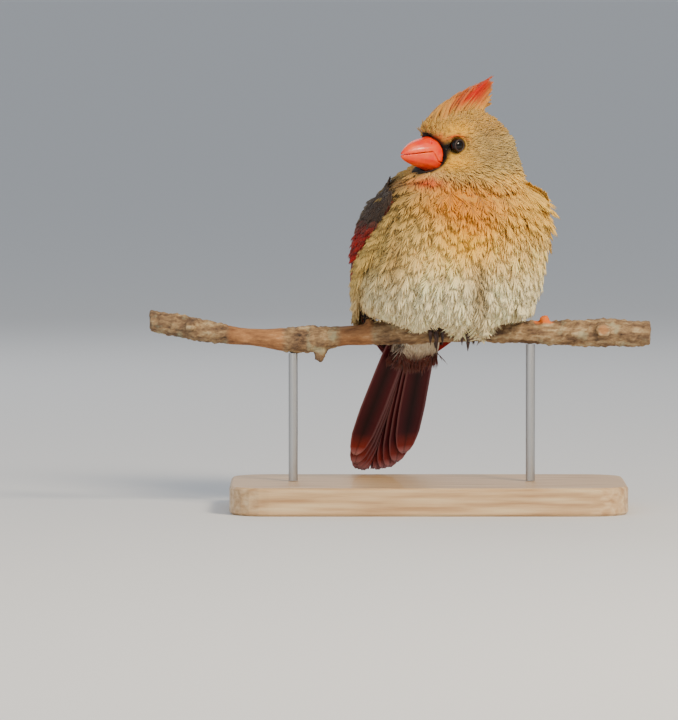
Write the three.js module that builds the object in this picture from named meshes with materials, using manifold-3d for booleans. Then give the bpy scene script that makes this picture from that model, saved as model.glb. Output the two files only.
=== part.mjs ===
// A female northern cardinal, fluffed up, that grips a cut length of branch held by two rods
// above a flat base. Millimetres, +Z up. The viewer looks along +Y, with +X to the right.
import * as THREE from "three";
import { mergeVertices } from "three/addons/utils/BufferGeometryUtils.js";
import Module from "manifold-3d";

const wasm = await Module();
wasm.setup();

// Clearance between two nodes that touch, and how thick a feather vane is
const gap = 0.3;
const vaneThickness = 0.55;

// The stand: a flat base and two rods
const base = { width: 170, depth: 90, height: 12, corner: 16, bevel: 1 };
const rod = { radius: 2, left: -58, right: 44 };

// The perch runs along X. Each station: along X, across Y, height, radius
const perch = {
  from: -119.5,
  to: 95.5,
  sides: 10,
  rings: 33,
  barkRelief: 0.045,
  stations: [
    [-119.5, 1.5, 81.3, 4.9],
    [-98, 0.5, 77, 5.2],
    [-76, -0.5, 74, 3.9],
    [-55, 0, 73, 6],
    [-34, 0, 74.7, 4.4],
    [-14, 0, 76.4, 6.1],
    [8, 0, 76.4, 4.8],
    [30, 0, 76.4, 4.8],
    [54, 0.5, 75.8, 5.5],
    [76, 0, 75.8, 6.3],
    [95.5, -0.5, 75.8, 5.5],
  ],
};

// The body stands over the perch and is turned to the viewer's right. Each station of the
// torso: height, half width, reach to the front, reach to the back
const body = {
  across: 8,
  yaw: 22,
  sides: 26,
  rings: 17,
  stations: [
    [76.5, 0.01, 0.01, 0.01],
    [77, 21, 24, 17],
    [80, 31, 31, 25],
    [85, 37, 36, 30],
    [92, 40.5, 40, 35],
    [101, 42, 42, 38],
    [111, 42.4, 42.2, 39],
    [120, 41.8, 41, 38],
    [128, 40.6, 38.5, 35],
    [134, 38.6, 35, 31],
    [139, 34.6, 30, 26.5],
    [144, 27, 24, 21],
    [148, 15, 14, 12],
    [149.5, 0.01, 0.01, 0.01],
  ],
  // The trunk leans to its left as it rises: the shift at even steps between two heights
  leanFrom: 76,
  leanTo: 150,
  lean: [0, 0, 0.4, 2.4, 4.2, 5, 4.4],
};

// Locks of the belly's hem that hang before and behind the perch. Each: across, depth and
// height of the tip
const hem = {
  length: 17,
  radius: 4.2,
  tips: [
    [-14, -22, 79],
    [-4, -24, 76.4],
    [2, -22, 76],
    [12.9, -22, 73.8],
    [23.4, -22, 73.4],
    [30, -22, 76.5],
    [40, -20, 79],
    [-10, 12, 75],
    [4, 18, 74],
    [30, 12, 74],
  ],
};

// The neck is a dome between torso and head. Each station: height, centre across, centre in
// depth, half width, half depth
const neck = {
  sides: 24,
  rings: 13,
  stations: [
    [128, 13, -1, 0.01, 0.01],
    [131, 13.5, -1, 22, 20],
    [138, 14, -1, 28, 25],
    [144, 13.8, -0.8, 28.2, 25],
    [149, 17.2, 1, 24.2, 22.5],
    [155, 21, 3, 18.6, 18],
    [161, 20.5, 4, 13.5, 13],
    [165, 20, 4, 0.01, 0.01],
  ],
};

// The head looks to its right. Its frame starts between the eyes, with X to the bird's left,
// Y to the back of the head. Each station: height, centre in depth, half length, half width
const head = {
  place: [5.75, -9.7, 156.4],
  yaw: -50,
  eyeAside: 10.8,
  taper: 0.42,
  sides: 26,
  rings: 16,
  stations: [
    [-24, 12, 0.01, 0.01],
    [-20, 12.5, 15, 12],
    [-12, 13, 22, 17.2],
    [-4, 13, 23.6, 17.4],
    [2, 12.5, 23.6, 17.2],
    [9, 10.8, 20.4, 15],
    [14, 10.4, 15.2, 10.4],
    [17.5, 10.4, 9, 6],
    [19.5, 10.4, 0.01, 0.01],
  ],
};

// The bill, in the head's frame. Each station: reach ahead of the eyes, half width, height of
// the culmen, height of the keel
const bill = {
  sides: 16,
  rings: 13,
  stations: [
    [4, 5.4, 0.5, -6],
    [5, 6.4, 3.6, -11.4],
    [8, 6.5, 4.4, -11],
    [11, 6.1, 3.7, -9.7],
    [15.3, 4.8, 2.7, -8.4],
    [19.3, 2.9, 0.8, -6.9],
    [22.4, 1.2, -2, -5.2],
    [23.2, 0.3, -3.6, -4.2],
  ],
  // The line of the mouth, as reach and height: level from the tip, then down to the gape
  mouth: [
    [26, -3.8],
    [20, -3.2],
    [13, -2.4],
    [10, -2.2],
    [7, -6.4],
    [2, -8],
  ],
  nostril: { reach: 10, aside: 4.2, up: 1.6, radius: 0.75 },
};
const eye = { radius: 2.9, sunk: 1.4, lidRadius: 2.3, lidWire: 0.5, ahead: 0, up: 0.4 };

// The crest: ranks of three feathers from the forehead back, in the head's frame. The tips
// follow the crest's front slope up to its point, then its back edge down again
const crest = {
  ranks: 5,
  aside: 2.6,
  halfWidth: 2.5,
  root: [[-8.5, 7.5], [-2, 13], [6, 16.3], [15, 15]],
  tip: [[0, 18.6], [11, 23.6], [31, 30.4], [28, 24], [26.5, 17.5]],
};

// The folded wing lies between two edges, given for the left side in the body's frame, from
// the wrist and the shoulder to the tip
const wing = {
  lower: [[36.6, -11, 130], [40.6, 1, 113], [38.2, 11, 96], [29, 28, 80], [13.5, 41, 66]],
  upper: [[31, 2, 137], [31.5, 20, 126], [25, 31.5, 109], [15.5, 36.5, 89], [6.5, 42.5, 69]],
  length: 80,
  swell: 1.4,
  depth: 3,
  coreEnd: 0.62,
  primaries: 4,
  secondaries: 4,
  tertials: 3,
  greaterCoverts: 5,
  medianCoverts: 3,
};

// The tail hangs down and back from the rump, turned a little further than the body
const tail = {
  place: [-2.5, 18, 89],
  yaw: 30,
  tilt: 30,
  perSide: 6,
  halfWidth: 6.3,
  lengths: [88, 88, 87, 84, 79, 72],
  rootStep: 0.85,
  fan: 0.95,
  layer: 0.92,
  split: 0.2,
  room: 1.2,
  roots: [24, 8, 36],
  core: { halfWidth: 10.5, depth: 5.2, length: 34 },
};
const vent = { halfWidth: 9, depth: 4.2, length: 38, feathers: 4, front: -9.4 };

// The feet grip the perch. Angles go round the perch from its top to the front
const feet = {
  right: 3.5,
  left: 17,
  perchUp: 76.4,
  perchRadius: 4.8,
  toeRadius: 1.3,
  clawLength: 6,
  legRadius: 1.25,
  legTop: [0, 7, 99],
};

const colour = {
  breast: "#e2a45c",
  belly: "#d9cc9f",
  back: "#8a7a5e",
  neck: "#c99a5c",
  head: "#b39a68",
  crest: "#b8432a",
  bill: "#f4673f",
  eye: "#120a0a",
  wing: "#86564c",
  tail: "#5a1a22",
  vent: "#cfc8b0",
  foot: "#4a2f2a",
  bark: "#a08a68",
  stand: "#c9ad85",
  rod: "#9a9a98",
};

const radians = THREE.MathUtils.degToRad;
const point = (x, y, z) => new THREE.Vector3(x, y, z);
const { lerp, clamp, smoothstep } = THREE.MathUtils;

// A smooth run through evenly spaced stations, read at 0 to 1
function run(stations) {
  const places = stations.map((_, i) => i / (stations.length - 1));
  const curve = new THREE.CubicInterpolant(places, stations.flat(), stations[0].length);
  return (t) => [...curve.evaluate(clamp(t, 0, 1))];
}

function curveOf(points) {
  return new THREE.CatmullRomCurve3(points.map((p) => point(...p)));
}

// The closed solid that a geometry bounds
function solid(geometry) {
  const bare = geometry.clone();
  bare.deleteAttribute("normal");
  bare.deleteAttribute("uv");
  const merged = mergeVertices(bare, 1e-4);
  const corners = [];
  for (let i = 0; i < merged.index.count; i += 3) {
    const [a, b, c] = [0, 1, 2].map((k) => merged.index.getX(i + k));
    if (a !== b && b !== c && a !== c) corners.push(a, b, c);
  }
  const made = (triVerts) =>
    new wasm.Manifold(
      new wasm.Mesh({
        numProp: 3,
        vertProperties: new Float32Array(merged.attributes.position.array),
        triVerts: new Uint32Array(triVerts),
      }),
    );
  const outward = made(corners);
  return outward.volume() > 0 ? outward : made(corners.reverse());
}

// A closed form whose rings run from one pole to the other. place takes the share of the way
// between the poles and the angle round, and gives a point
function loft(sides, rings, place) {
  const geometry = new THREE.SphereGeometry(1, sides, rings);
  const spots = geometry.attributes.position;
  for (let i = 0; i < spots.count; i++) {
    const ring = Math.floor(i / (sides + 1));
    const side = (i % (sides + 1)) % sides;
    const spot = place(ring / rings, (side / sides) * 2 * Math.PI);
    spots.setXYZ(i, spot.x, spot.y, spot.z);
  }
  return solid(geometry);
}

// A thin closed plate, split into triangles alike on both faces. place takes -1 to 1 across,
// 0 to 1 along, and 1 or -1 for the face, and gives a point
function plate(columns, rows, place) {
  const spots = [];
  const corners = [];
  const at = (column, row, face) => (face * (rows + 1) + row) * (columns + 1) + column;
  const quad = (a, b, c, d) => corners.push(a, b, c, a, c, d);
  for (let face = 0; face < 2; face++)
    for (let row = 0; row <= rows; row++)
      for (let column = 0; column <= columns; column++)
        spots.push(...place((2 * column) / columns - 1, row / rows, face ? 1 : -1));
  for (let row = 0; row < rows; row++)
    for (let column = 0; column < columns; column++) {
      const [c, r] = [column + 1, row + 1];
      quad(at(column, row, 1), at(c, row, 1), at(c, r, 1), at(column, r, 1));
      quad(at(column, row, 0), at(column, r, 0), at(c, r, 0), at(c, row, 0));
    }
  for (let column = 0; column < columns; column++) {
    const c = column + 1;
    quad(at(column, 0, 0), at(c, 0, 0), at(c, 0, 1), at(column, 0, 1));
    quad(at(c, rows, 0), at(column, rows, 0), at(column, rows, 1), at(c, rows, 1));
  }
  for (let row = 0; row < rows; row++) {
    const r = row + 1;
    quad(at(0, r, 0), at(0, row, 0), at(0, row, 1), at(0, r, 1));
    quad(at(columns, row, 0), at(columns, r, 0), at(columns, r, 1), at(columns, row, 1));
  }
  const geometry = new THREE.BufferGeometry();
  geometry.setAttribute("position", new THREE.Float32BufferAttribute(spots, 3));
  geometry.setIndex(corners);
  return solid(geometry);
}

// A feather along a spine that gives its middle, its side and its face at 0 to 1
const strap = run([[0.5], [0.8], [0.95], [1], [0.97], [0.8], [0.28]]);
const leaf = run([[0.45], [0.85], [1], [0.92], [0.7], [0.4], [0.12]]);
function vane({ halfWidth, spine, outline = strap, rows = 5, columns = 2, camber = 0.5 }) {
  return plate(columns, rows, (across, along, face) => {
    const t = 1 - (1 - along) ** 1.5;
    const { middle, side, up } = spine(t);
    const wide = halfWidth * outline(t)[0];
    const thick = vaneThickness * lerp(1, 0.6, t);
    const lift = camber * (1 - across * across) + (face * thick) / 2;
    return middle.clone().addScaledVector(side, across * wide).addScaledVector(up, lift);
  });
}

// One closed body: the pieces joined, and only the largest surface kept
function largest(made) {
  const pieces = made.decompose();
  return pieces.reduce((best, piece) => (piece.volume() > best.volume() ? piece : best));
}
function join(pieces) {
  return largest(pieces.reduce((sum, piece) => sum.add(piece)));
}

// A frame that a group holds, as a solid's transform
function framed(group, made) {
  group.updateWorldMatrix(true, false);
  return made.transform(group.matrixWorld.elements);
}

function frame(place, yaw, tilt = 0) {
  const group = new THREE.Group();
  group.position.set(...place);
  group.rotation.order = "ZXY";
  group.rotation.set(radians(tilt), 0, radians(yaw));
  return group;
}

const bird = frame([body.across, 0, 0], body.yaw);
const skull = frame(head.place, head.yaw);
const rump = frame(tail.place, tail.yaw, tail.tilt);

// The perch, a little larger where grow says so
function perchShape(grow = 0) {
  const { from, to, sides, rings, stations, barkRelief } = perch;
  const along = run(stations);
  return loft(sides, rings, (t, angle) => {
    const inner = clamp((t * rings - 1) / (rings - 2), 0, 1);
    const share = inner;
    const [x, y, z, radius] = along(share);
    const isEnd = t === 0 || t === 1;
    const grain = Math.sin(3 * angle + 0.21 * x) + Math.sin(5 * angle - 0.33 * x + 1);
    const out = isEnd ? 0 : radius * (1 + barkRelief * grain) + grow;
    const end = inner === 0 ? -grow : inner === 1 ? grow : 0;
    return point(x + end, y + out * Math.cos(angle), z + out * Math.sin(angle));
  });
}

// A ball or bud of wood, stretched from one point to another
function knob(start, finish, startRadius, endRadius, grow) {
  const sides = 8;
  const axis = point(...finish).sub(point(...start));
  const side = point(axis.z, 0, -axis.x).normalize();
  const up = axis.clone().cross(side).normalize();
  const rings = 6;
  return loft(sides, rings, (t, angle) => {
    const radius = t === 0 || t === 1 ? 0 : lerp(startRadius, endRadius, t) + grow;
    const share = clamp((t * rings - 1) / (rings - 2), 0, 1) * (1 + grow / axis.length());
    return point(...start)
      .addScaledVector(axis, share)
      .addScaledVector(side, radius * Math.cos(angle))
      .addScaledVector(up, radius * Math.sin(angle));
  });
}

function perchSolid(grow = 0) {
  return join([
    perchShape(grow),
    knob([-45, 0, 73], [-47, -1, 63.6], 3.4, 1.9, grow),
    knob([-25, -1, 77], [-25.6, -1.6, 82.4], 2.2, 1.4, grow),
    knob([52, -1, 76], [49.3, -2.4, 83.3], 3, 1.8, grow),
    knob([75, 0, 76.5], [75, -8.2, 77.6], 4, 3.2, grow),
    knob([-101, 0, 78], [-102, -6.4, 79], 3, 2, grow),
  ]);
}

// The trunk of the bird in its own frame
function torsoShape() {
  const section = run(body.stations);
  return loft(body.sides, body.rings, (t, angle) => {
    const [up, half, front, back] = section(t);
    const isPole = t === 0 || t === 1;
    const depth = isPole ? 0 : (front + back) / 2;
    const width = isPole ? 0 : half;
    const middle = (back - front) / 2;
    return point(width * Math.cos(angle), middle + depth * Math.sin(angle), up);
  });
}

// The trunk's lean, given to a solid of the bird's frame
function leaned(made) {
  const shift = run(body.lean.map((value) => [value]));
  return made.warp((spot) => {
    spot[0] += shift((spot[2] - body.leanFrom) / (body.leanTo - body.leanFrom))[0];
  });
}

// A pointed lock of the belly's hem, that comes down from the belly's inside to its tip
function hemLock([x, y, z]) {
  const tip = point(x, y, z);
  const middle = point(body.across, 0, 100);
  const inward = middle.sub(tip).setZ(0).normalize();
  const root = tip.clone().addScaledVector(inward, -2).add(point(0, 0, hem.length));
  return loft(5, 4, (t, angle) => {
    const size = t === 0 || t === 1 ? 0 : hem.radius * (1 - t) ** 0.7;
    const spot = root.clone().lerp(tip, t);
    return spot.add(point(size * Math.cos(angle), size * Math.sin(angle), 0));
  });
}

function neckShape() {
  const section = run(neck.stations);
  return loft(neck.sides, neck.rings, (t, angle) => {
    const [up, x, y, half, deep] = section(t);
    const size = t === 0 || t === 1 ? 0 : 1;
    return point(x + size * half * Math.cos(angle), y + size * deep * Math.sin(angle), up);
  });
}

// The head is an egg from above, narrow at the face
function headShape(grow = 0) {
  const section = run(head.stations);
  return loft(head.sides, head.rings, (t, angle) => {
    const [up, y, long, half] = section(t);
    const size = t === 0 || t === 1 ? 0 : 1;
    const ahead = Math.cos(angle);
    const aside = Math.sin(angle) * (1 - head.taper * ahead);
    const top = t > 0.5 ? grow : 0;
    return point(size * (half + grow) * aside, y - size * (long + grow) * ahead, up + top);
  });
}

function billShape(grow = 0) {
  const section = run(bill.stations);
  return loft(bill.sides, bill.rings, (t, angle) => {
    const [reach, half, top, keel] = section(t);
    const size = t === 0 || t === 1 ? 0 : 1;
    const middle = (top + keel) / 2;
    const tall = (top - keel) / 2;
    const x = size * (half + grow) * Math.cos(angle);
    return point(x, -reach + (t > 0.5 ? -grow : grow), middle + size * (tall + grow) * Math.sin(angle));
  });
}

// Everything below the line of the mouth, or below that line raised
function belowMouth(raise) {
  const shape = new THREE.Shape();
  shape.moveTo(bill.mouth[0][0], bill.mouth[0][1] + raise);
  for (const [reach, up] of bill.mouth.slice(1)) shape.lineTo(reach, up + raise);
  shape.lineTo(2, -30);
  shape.lineTo(26, -30);
  const slab = new THREE.ExtrudeGeometry(shape, { depth: 30, bevelEnabled: false });
  // The shape's X is the reach ahead and its Y the height, so it is turned to the front
  slab.applyMatrix4(new THREE.Matrix4().makeBasis(point(0, -1, 0), point(0, 0, 1), point(-1, 0, 0)));
  slab.translate(15, 0, 0);
  return solid(slab);
}

function ball(x, y, z, radius, sides = 16) {
  const geometry = new THREE.SphereGeometry(radius, sides, sides / 2 + 2);
  geometry.translate(x, y, z);
  return solid(geometry);
}

// Where an eye sits on the head, and which way it looks, in the head's frame
function eyeSpot(side) {
  return point(side * (head.eyeAside - eye.sunk), -eye.ahead, eye.up);
}

function eyeball(side, grow = 0) {
  const spot = eyeSpot(side);
  return ball(spot.x, spot.y, spot.z, eye.radius + grow, 12);
}

// The rim of the lids, a ring round the eyeball's front
function lids(side) {
  const spot = eyeSpot(side);
  const ring = new THREE.TorusGeometry(eye.lidRadius, eye.lidWire, 5, 14);
  ring.rotateY(Math.PI / 2);
  ring.scale(1, 1, 0.94);
  const reach = Math.sqrt(eye.radius ** 2 - eye.lidRadius ** 2);
  ring.translate(spot.x + side * (reach + 0.1), spot.y, spot.z);
  return solid(ring);
}

// A crest rank's point along a run of hand-set spots, as depth and height in the head's frame
function crestSpot(spots, share) {
  return run(spots)(share);
}

function crestShape() {
  const pieces = [];
  for (let rank = 0; rank < crest.ranks; rank++) {
    const share = rank / (crest.ranks - 1);
    const [rootBack, rootUp] = crestSpot(crest.root, share);
    const [tipBack, tipUp] = crestSpot(crest.tip, share);
    for (const side of [-1, 0, 1]) {
      const root = point(side * crest.aside, rootBack, rootUp - 2);
      const shy = 1 - 0.12 * Math.abs(side);
      const tip = point(side * 0.9, lerp(rootBack, tipBack, shy), lerp(rootUp, tipUp, shy));
      const along = tip.clone().sub(root);
      const across = point(1, 0, 0);
      const face = across.clone().cross(along).normalize().negate();
      const spine = (t) => ({
        middle: root
          .clone()
          .addScaledVector(along, t)
          .addScaledVector(face, -1.6 * Math.sin(Math.PI * t)),
        side: across,
        up: face,
      });
      pieces.push(vane({ halfWidth: crest.halfWidth, spine, outline: leaf, rows: 3, columns: 1 }));
    }
  }
  // The close-set hair of the crest behind the feathers, that holds them together
  const [topBack, topUp] = crest.tip[2];
  pieces.push(
    loft(8, 6, (t, angle) => {
      const size = Math.sin(Math.PI * Math.min(1, 0.5 * t + 0.5)) ** 0.8;
      const sides = t === 0 || t === 1 ? 0 : size;
      const y = lerp(3, topBack - 5, t) + sides * lerp(11, 4, t) * Math.cos(angle);
      const z = lerp(12, topUp - 3, t) - sides * lerp(2, 3, t) * Math.cos(angle);
      return point(sides * lerp(5, 1.6, t) * Math.sin(angle), y, z);
    }),
  );
  return join(pieces);
}

// The wing's surface at u along and v from its lower to its upper edge, in the body's frame
function wingSurface(side) {
  const lower = curveOf(wing.lower);
  const upper = curveOf(wing.upper);
  const at = (u, v) => {
    const spot = lower.getPoint(clamp(u, 0, 1)).lerp(upper.getPoint(clamp(u, 0, 1)), v);
    const over = u - clamp(u, 0, 1);
    const straight = lower.getTangent(clamp(u, 0.02, 0.98));
    if (over) spot.addScaledVector(straight, over * wing.length);
    const out = point(spot.x, spot.y * 0.8, 0).normalize();
    return spot.addScaledVector(out, 4 * wing.swell * v * (1 - v));
  };
  return (u, v) => {
    const step = 0.01;
    const spot = at(u, v);
    const along = at(u + step, v).sub(at(u - step, v)).normalize();
    const across = at(u, v + step).sub(at(u, v - step)).normalize();
    const out = across.cross(along).normalize();
    if (out.x < 0) out.negate();
    const hand = side < 0 ? point(-1, 1, 1) : point(1, 1, 1);
    return { spot: spot.multiply(hand), along: along.multiply(hand), out: out.multiply(hand) };
  };
}

// The wing's covered part, and with grow the pocket that it lies in
function wingCore(side, grow = 0) {
  const surface = wingSurface(side);
  return plate(6, 10, (across, along, face) => {
    const margin = grow ? 0.12 : 0;
    const u = lerp(-margin / 2, wing.coreEnd + margin, along);
    const v = clamp((across + 1) / 2, 0, 1) * (1 + 2 * margin) - margin;
    const { spot, out } = surface(u, v);
    const edge = Math.sqrt(Math.max(0, 1 - across ** 4)) * Math.sqrt(Math.max(0, 1 - (2 * along - 1) ** 6));
    const inner = -0.3 - wing.depth * edge - grow;
    const outer = grow ? 16 : 0.2 + 0.5 * edge;
    return spot.addScaledVector(out, face > 0 ? outer : inner);
  });
}

// A wing feather from one spot of the surface to another, rising to its layer
function wingFeather(side, { from, to, halfWidth, layer, roll = 0.16, outline = strap }) {
  const surface = wingSurface(side);
  const spine = (t) => {
    const { spot, out } = surface(lerp(from[0], to[0], t), lerp(from[1], to[1], t));
    const ahead = surface(lerp(from[0], to[0], t + 0.05), lerp(from[1], to[1], t + 0.05)).spot;
    const along = ahead.sub(spot).normalize();
    const flat = out.clone().cross(along).normalize();
    if (side < 0) flat.negate();
    const across = flat.applyAxisAngle(along, side * roll);
    const up = out.clone().applyAxisAngle(along, side * roll);
    const lift = lerp(-0.9, layer, smoothstep(t, 0, 0.35));
    return { middle: spot.addScaledVector(out, lift), side: across, up };
  };
  return vane({ halfWidth, spine, outline, rows: 3, columns: 1 });
}

function wingShape(side) {
  const pieces = [wingCore(side)];
  const row = (count, make) => {
    for (let i = 0; i < count; i++) {
      const share = i / (count - 1);
      pieces.push(wingFeather(side, make(share, i)));
    }
  };
  row(wing.primaries, (share) => ({
    from: [0.5, lerp(0.12, 0.3, share)],
    to: [lerp(1.04, 0.8, share), lerp(0.5, 0.16, share)],
    halfWidth: 4.4,
    layer: lerp(-0.6, 0.2, share),
  }));
  row(wing.secondaries, (share) => ({
    from: [0.42, lerp(0.2, 0.62, share)],
    to: [lerp(0.76, 0.7, share), lerp(0.2, 0.66, share)],
    halfWidth: 4.6,
    layer: lerp(0.8, 1.1, share),
  }));
  row(wing.tertials, (share) => ({
    from: [0.34, lerp(0.66, 0.82, share)],
    to: [lerp(0.74, 0.58, share), lerp(0.72, 0.9, share)],
    halfWidth: 5.2,
    layer: lerp(1.4, 2.2, share),
  }));
  row(wing.greaterCoverts, (share) => ({
    from: [lerp(0.3, 0.24, share), lerp(0.08, 0.86, share)],
    to: [lerp(0.5, 0.42, share), lerp(0.08, 0.84, share)],
    halfWidth: 3.6,
    layer: 1.9,
    outline: leaf,
  }));
  row(wing.medianCoverts, (share) => ({
    from: [0.14, lerp(0.12, 0.86, share)],
    to: [0.31, lerp(0.12, 0.86, share)],
    halfWidth: 3.8,
    layer: 1.8,
    outline: leaf,
  }));
  return join(pieces);
}

// The tail in its own frame, where the feathers hang towards -Z and Y is the upper side
function tailCore(grow = 0) {
  const { halfWidth, depth, length } = tail.core;
  return loft(16, 10, (t, angle) => {
    const size = t === 0 || t === 1 ? 0 : Math.sin(Math.PI * t) ** 0.45;
    const wide = size * (halfWidth + grow) * lerp(0.95, 1, t);
    const deep = size * (depth + grow) * lerp(1, 0.45, t);
    const z = lerp(8 + grow, 8 - length - grow, t);
    return point(wide * Math.cos(angle), 1 + deep * Math.sin(angle), z);
  });
}

function tailShape() {
  const pieces = [tailCore()];
  for (const side of [-1, 1])
    for (let i = 0; i < tail.perSide; i++) {
      const turn = radians((i + 0.5) * tail.fan) * side;
      const down = point(Math.sin(turn), 0, -Math.cos(turn));
      const across = point(Math.cos(turn), 0, Math.sin(turn));
      const spine = (t) => ({
        middle: point(side * (i + 0.5) * tail.rootStep, 2.4 - i * tail.layer, -2).addScaledVector(
          down,
          t * (tail.lengths[i] - 2),
        ),
        side: across,
        up: point(0, 1, 0),
      });
      const made = plate(2, 3, (aside, along, face) => {
        const t = 1 - (1 - along) ** 1.5;
        const { middle, side: flat } = spine(t);
        const spot = middle.addScaledVector(flat, aside * tail.halfWidth * strap(t)[0]);
        spot.x = side * Math.max(tail.split, side * spot.x);
        spot.y += 0.35 * (1 - aside * aside) + (face * vaneThickness * lerp(1, 0.6, t)) / 2;
        return spot;
      });
      pieces.push(made);
    }
  return join(pieces);
}

// The soft mass of the coverts under the tail, larger by grow
function ventCore(grow = 0) {
  const { halfWidth, depth, length, front } = vent;
  return loft(16, 10, (t, angle) => {
    const size = t === 0 || t === 1 ? 0 : Math.sin(Math.PI * t) ** 0.5;
    const wide = size * (halfWidth * lerp(1, 0.8, t) + grow);
    const deep = size * (depth * lerp(1, 0.5, t) + grow);
    const y = front + lerp(0, 2.6, t);
    const z = lerp(6 + grow, 6 - length - grow, t);
    return point(wide * Math.cos(angle), y + deep * Math.sin(angle), z);
  });
}

// The coverts under the tail, rooted behind the legs
function ventShape() {
  const { length, feathers, front } = vent;
  const pieces = [ventCore()];
  for (let i = 0; i < feathers; i++) {
    const share = i / (feathers - 1) - 0.5;
    const reach = length + 5 - 18 * Math.abs(share);
    const spine = (t) => ({
      middle: point(
        share * (11 + 5 * t),
        front + 2.6 * t - 1.2 + 1.4 * Math.abs(share),
        -10 - t * (reach - 16),
      ),
      side: point(1, 0, 0),
      up: point(0, 1, 0),
    });
    pieces.push(vane({ halfWidth: 4, spine, outline: leaf, camber: -0.5, rows: 3 }));
  }
  return join(pieces);
}

// One toe with its claw round the perch. Angles are from the perch's top towards the viewer
function toe(x, spread, startAngle, endAngle, clawBend, size = 1) {
  const { perchUp, perchRadius, toeRadius, clawLength } = feet;
  const path = [];
  const steps = 6;
  for (let i = 0; i <= steps; i++) {
    const angle = radians(lerp(startAngle, endAngle, i / steps));
    const away = perchRadius + gap + toeRadius * size * 1.05;
    const aside = x + spread * Math.abs(Math.sin(angle)) * away;
    path.push(point(aside, -away * Math.sin(angle), perchUp + away * Math.cos(angle)));
  }
  const last = path[steps];
  const heading = last.clone().sub(path[steps - 1]).normalize();
  const inward = point(0, -Math.sin(radians(endAngle)), Math.cos(radians(endAngle))).negate();
  for (const share of [0.5, 1])
    path.push(
      last
        .clone()
        .addScaledVector(heading, share * clawLength * size)
        .addScaledVector(inward, clawBend * share * share),
    );
  const curve = new THREE.CatmullRomCurve3(path);
  const rings = 8;
  const radius = run([[1.15], [1.1], [0.9], [1.05], [0.85], [1], [0.8], [0.55], [0.12]]);
  return loft(6, rings, (t, angle) => {
    const share = clamp((t * rings - 1) / (rings - 2), 0, 1);
    const thick = t === 0 || t === 1 ? 0 : radius(share)[0] * toeRadius * size;
    const along = curve.getTangent(share);
    const side = point(1, 0, 0).cross(along).normalize();
    const across = along.clone().cross(side);
    return curve
      .getPoint(share)
      .addScaledVector(side, thick * Math.cos(angle))
      .addScaledVector(across, thick * Math.sin(angle));
  });
}

function footShape(x, side) {
  const top = feet.perchUp + feet.perchRadius + gap + feet.toeRadius;
  return join([
    toe(x, 0, -12, 118, 0.4),
    toe(x, 0.42, -8, 100, 1.2, 0.85),
    toe(x, -0.42, -8, 100, 1.2, 0.85),
    toe(x, 0.1 * side, 12, -112, 1, 0.95),
    ball(x, 0, top, 2, 10),
  ]);
}

// The shank goes up from the foot into the belly's feathers, thicker by grow
function legShape(x, grow = 0) {
  const [dx, dy, topUp] = feet.legTop;
  const top = feet.perchUp + feet.perchRadius + feet.toeRadius * 2;
  const start = point(x, 0, top + 1 - grow);
  const finish = point(x + dx, dy, topUp + grow);
  const rings = 8;
  return loft(9, rings, (t, angle) => {
    const share = clamp((t * rings - 1) / (rings - 2), 0, 1);
    const radius = t === 0 || t === 1 ? 0 : feet.legRadius * lerp(1, 1.3, share) + grow;
    return start
      .clone()
      .lerp(finish, share)
      .add(point(radius * Math.cos(angle), radius * Math.sin(angle), 0));
  });
}

function baseSolid() {
  const { width, depth, height, corner, bevel } = base;
  const [w, d] = [width / 2 - bevel, depth / 2 - bevel];
  const shape = new THREE.Shape();
  shape.moveTo(-w + corner, -d);
  shape.lineTo(w - corner, -d);
  shape.absarc(w - corner, -d + corner, corner, -Math.PI / 2, 0);
  shape.absarc(w - corner, d - corner, corner, 0, Math.PI / 2);
  shape.absarc(-w + corner, d - corner, corner, Math.PI / 2, Math.PI);
  shape.absarc(-w + corner, -d + corner, corner, Math.PI, 1.5 * Math.PI);
  const slab = new THREE.ExtrudeGeometry(shape, {
    depth: height - 2 * bevel,
    curveSegments: 3,
    bevelThickness: bevel,
    bevelSize: bevel,
    bevelSegments: 1,
  });
  slab.translate(0, 0, bevel);
  return solid(slab);
}

function rodSolid(x) {
  const post = new THREE.CylinderGeometry(rod.radius, rod.radius, 66, 18);
  post.rotateX(Math.PI / 2);
  post.translate(x, 0, base.height + gap + 33);
  return largest(solid(post).subtract(perchSolid(gap)));
}

// A solid as a mesh of a group, in that group's own frame
function show(group, name, made, paint, roughness = 0.8) {
  group.updateWorldMatrix(true, false);
  const mesh = made.getMesh();
  const geometry = new THREE.BufferGeometry();
  const spots = new Float32Array(mesh.vertProperties);
  geometry.setAttribute("position", new THREE.BufferAttribute(spots, 3));
  geometry.setIndex(new THREE.BufferAttribute(new Uint32Array(mesh.triVerts), 1));
  geometry.applyMatrix4(group.matrixWorld.clone().invert());
  const material = new THREE.MeshStandardMaterial({ color: paint, roughness, metalness: 0 });
  const shown = new THREE.Mesh(geometry, material);
  shown.name = name;
  group.add(shown);
}

const model = new THREE.Group();
model.add(bird, skull, rump);

// Bill and eyes first, because the head is cut to hold them
const wholeBill = framed(skull, billShape());
const mouthLow = framed(skull, belowMouth(-gap / 2));
const mouthHigh = framed(skull, belowMouth(gap / 2));
const { reach, aside, up: nostrilUp, radius: nostrilRadius } = bill.nostril;
const nostrilAt = (side) => ball(side * aside, -reach, nostrilUp, nostrilRadius, 10);
const nostrils = [-1, 1].map((side) => framed(skull, nostrilAt(side)));
const upperBeak = largest(wholeBill.subtract(mouthHigh).subtract(nostrils[0]).subtract(nostrils[1]));
const lowerBeak = largest(wholeBill.intersect(mouthLow));

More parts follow.
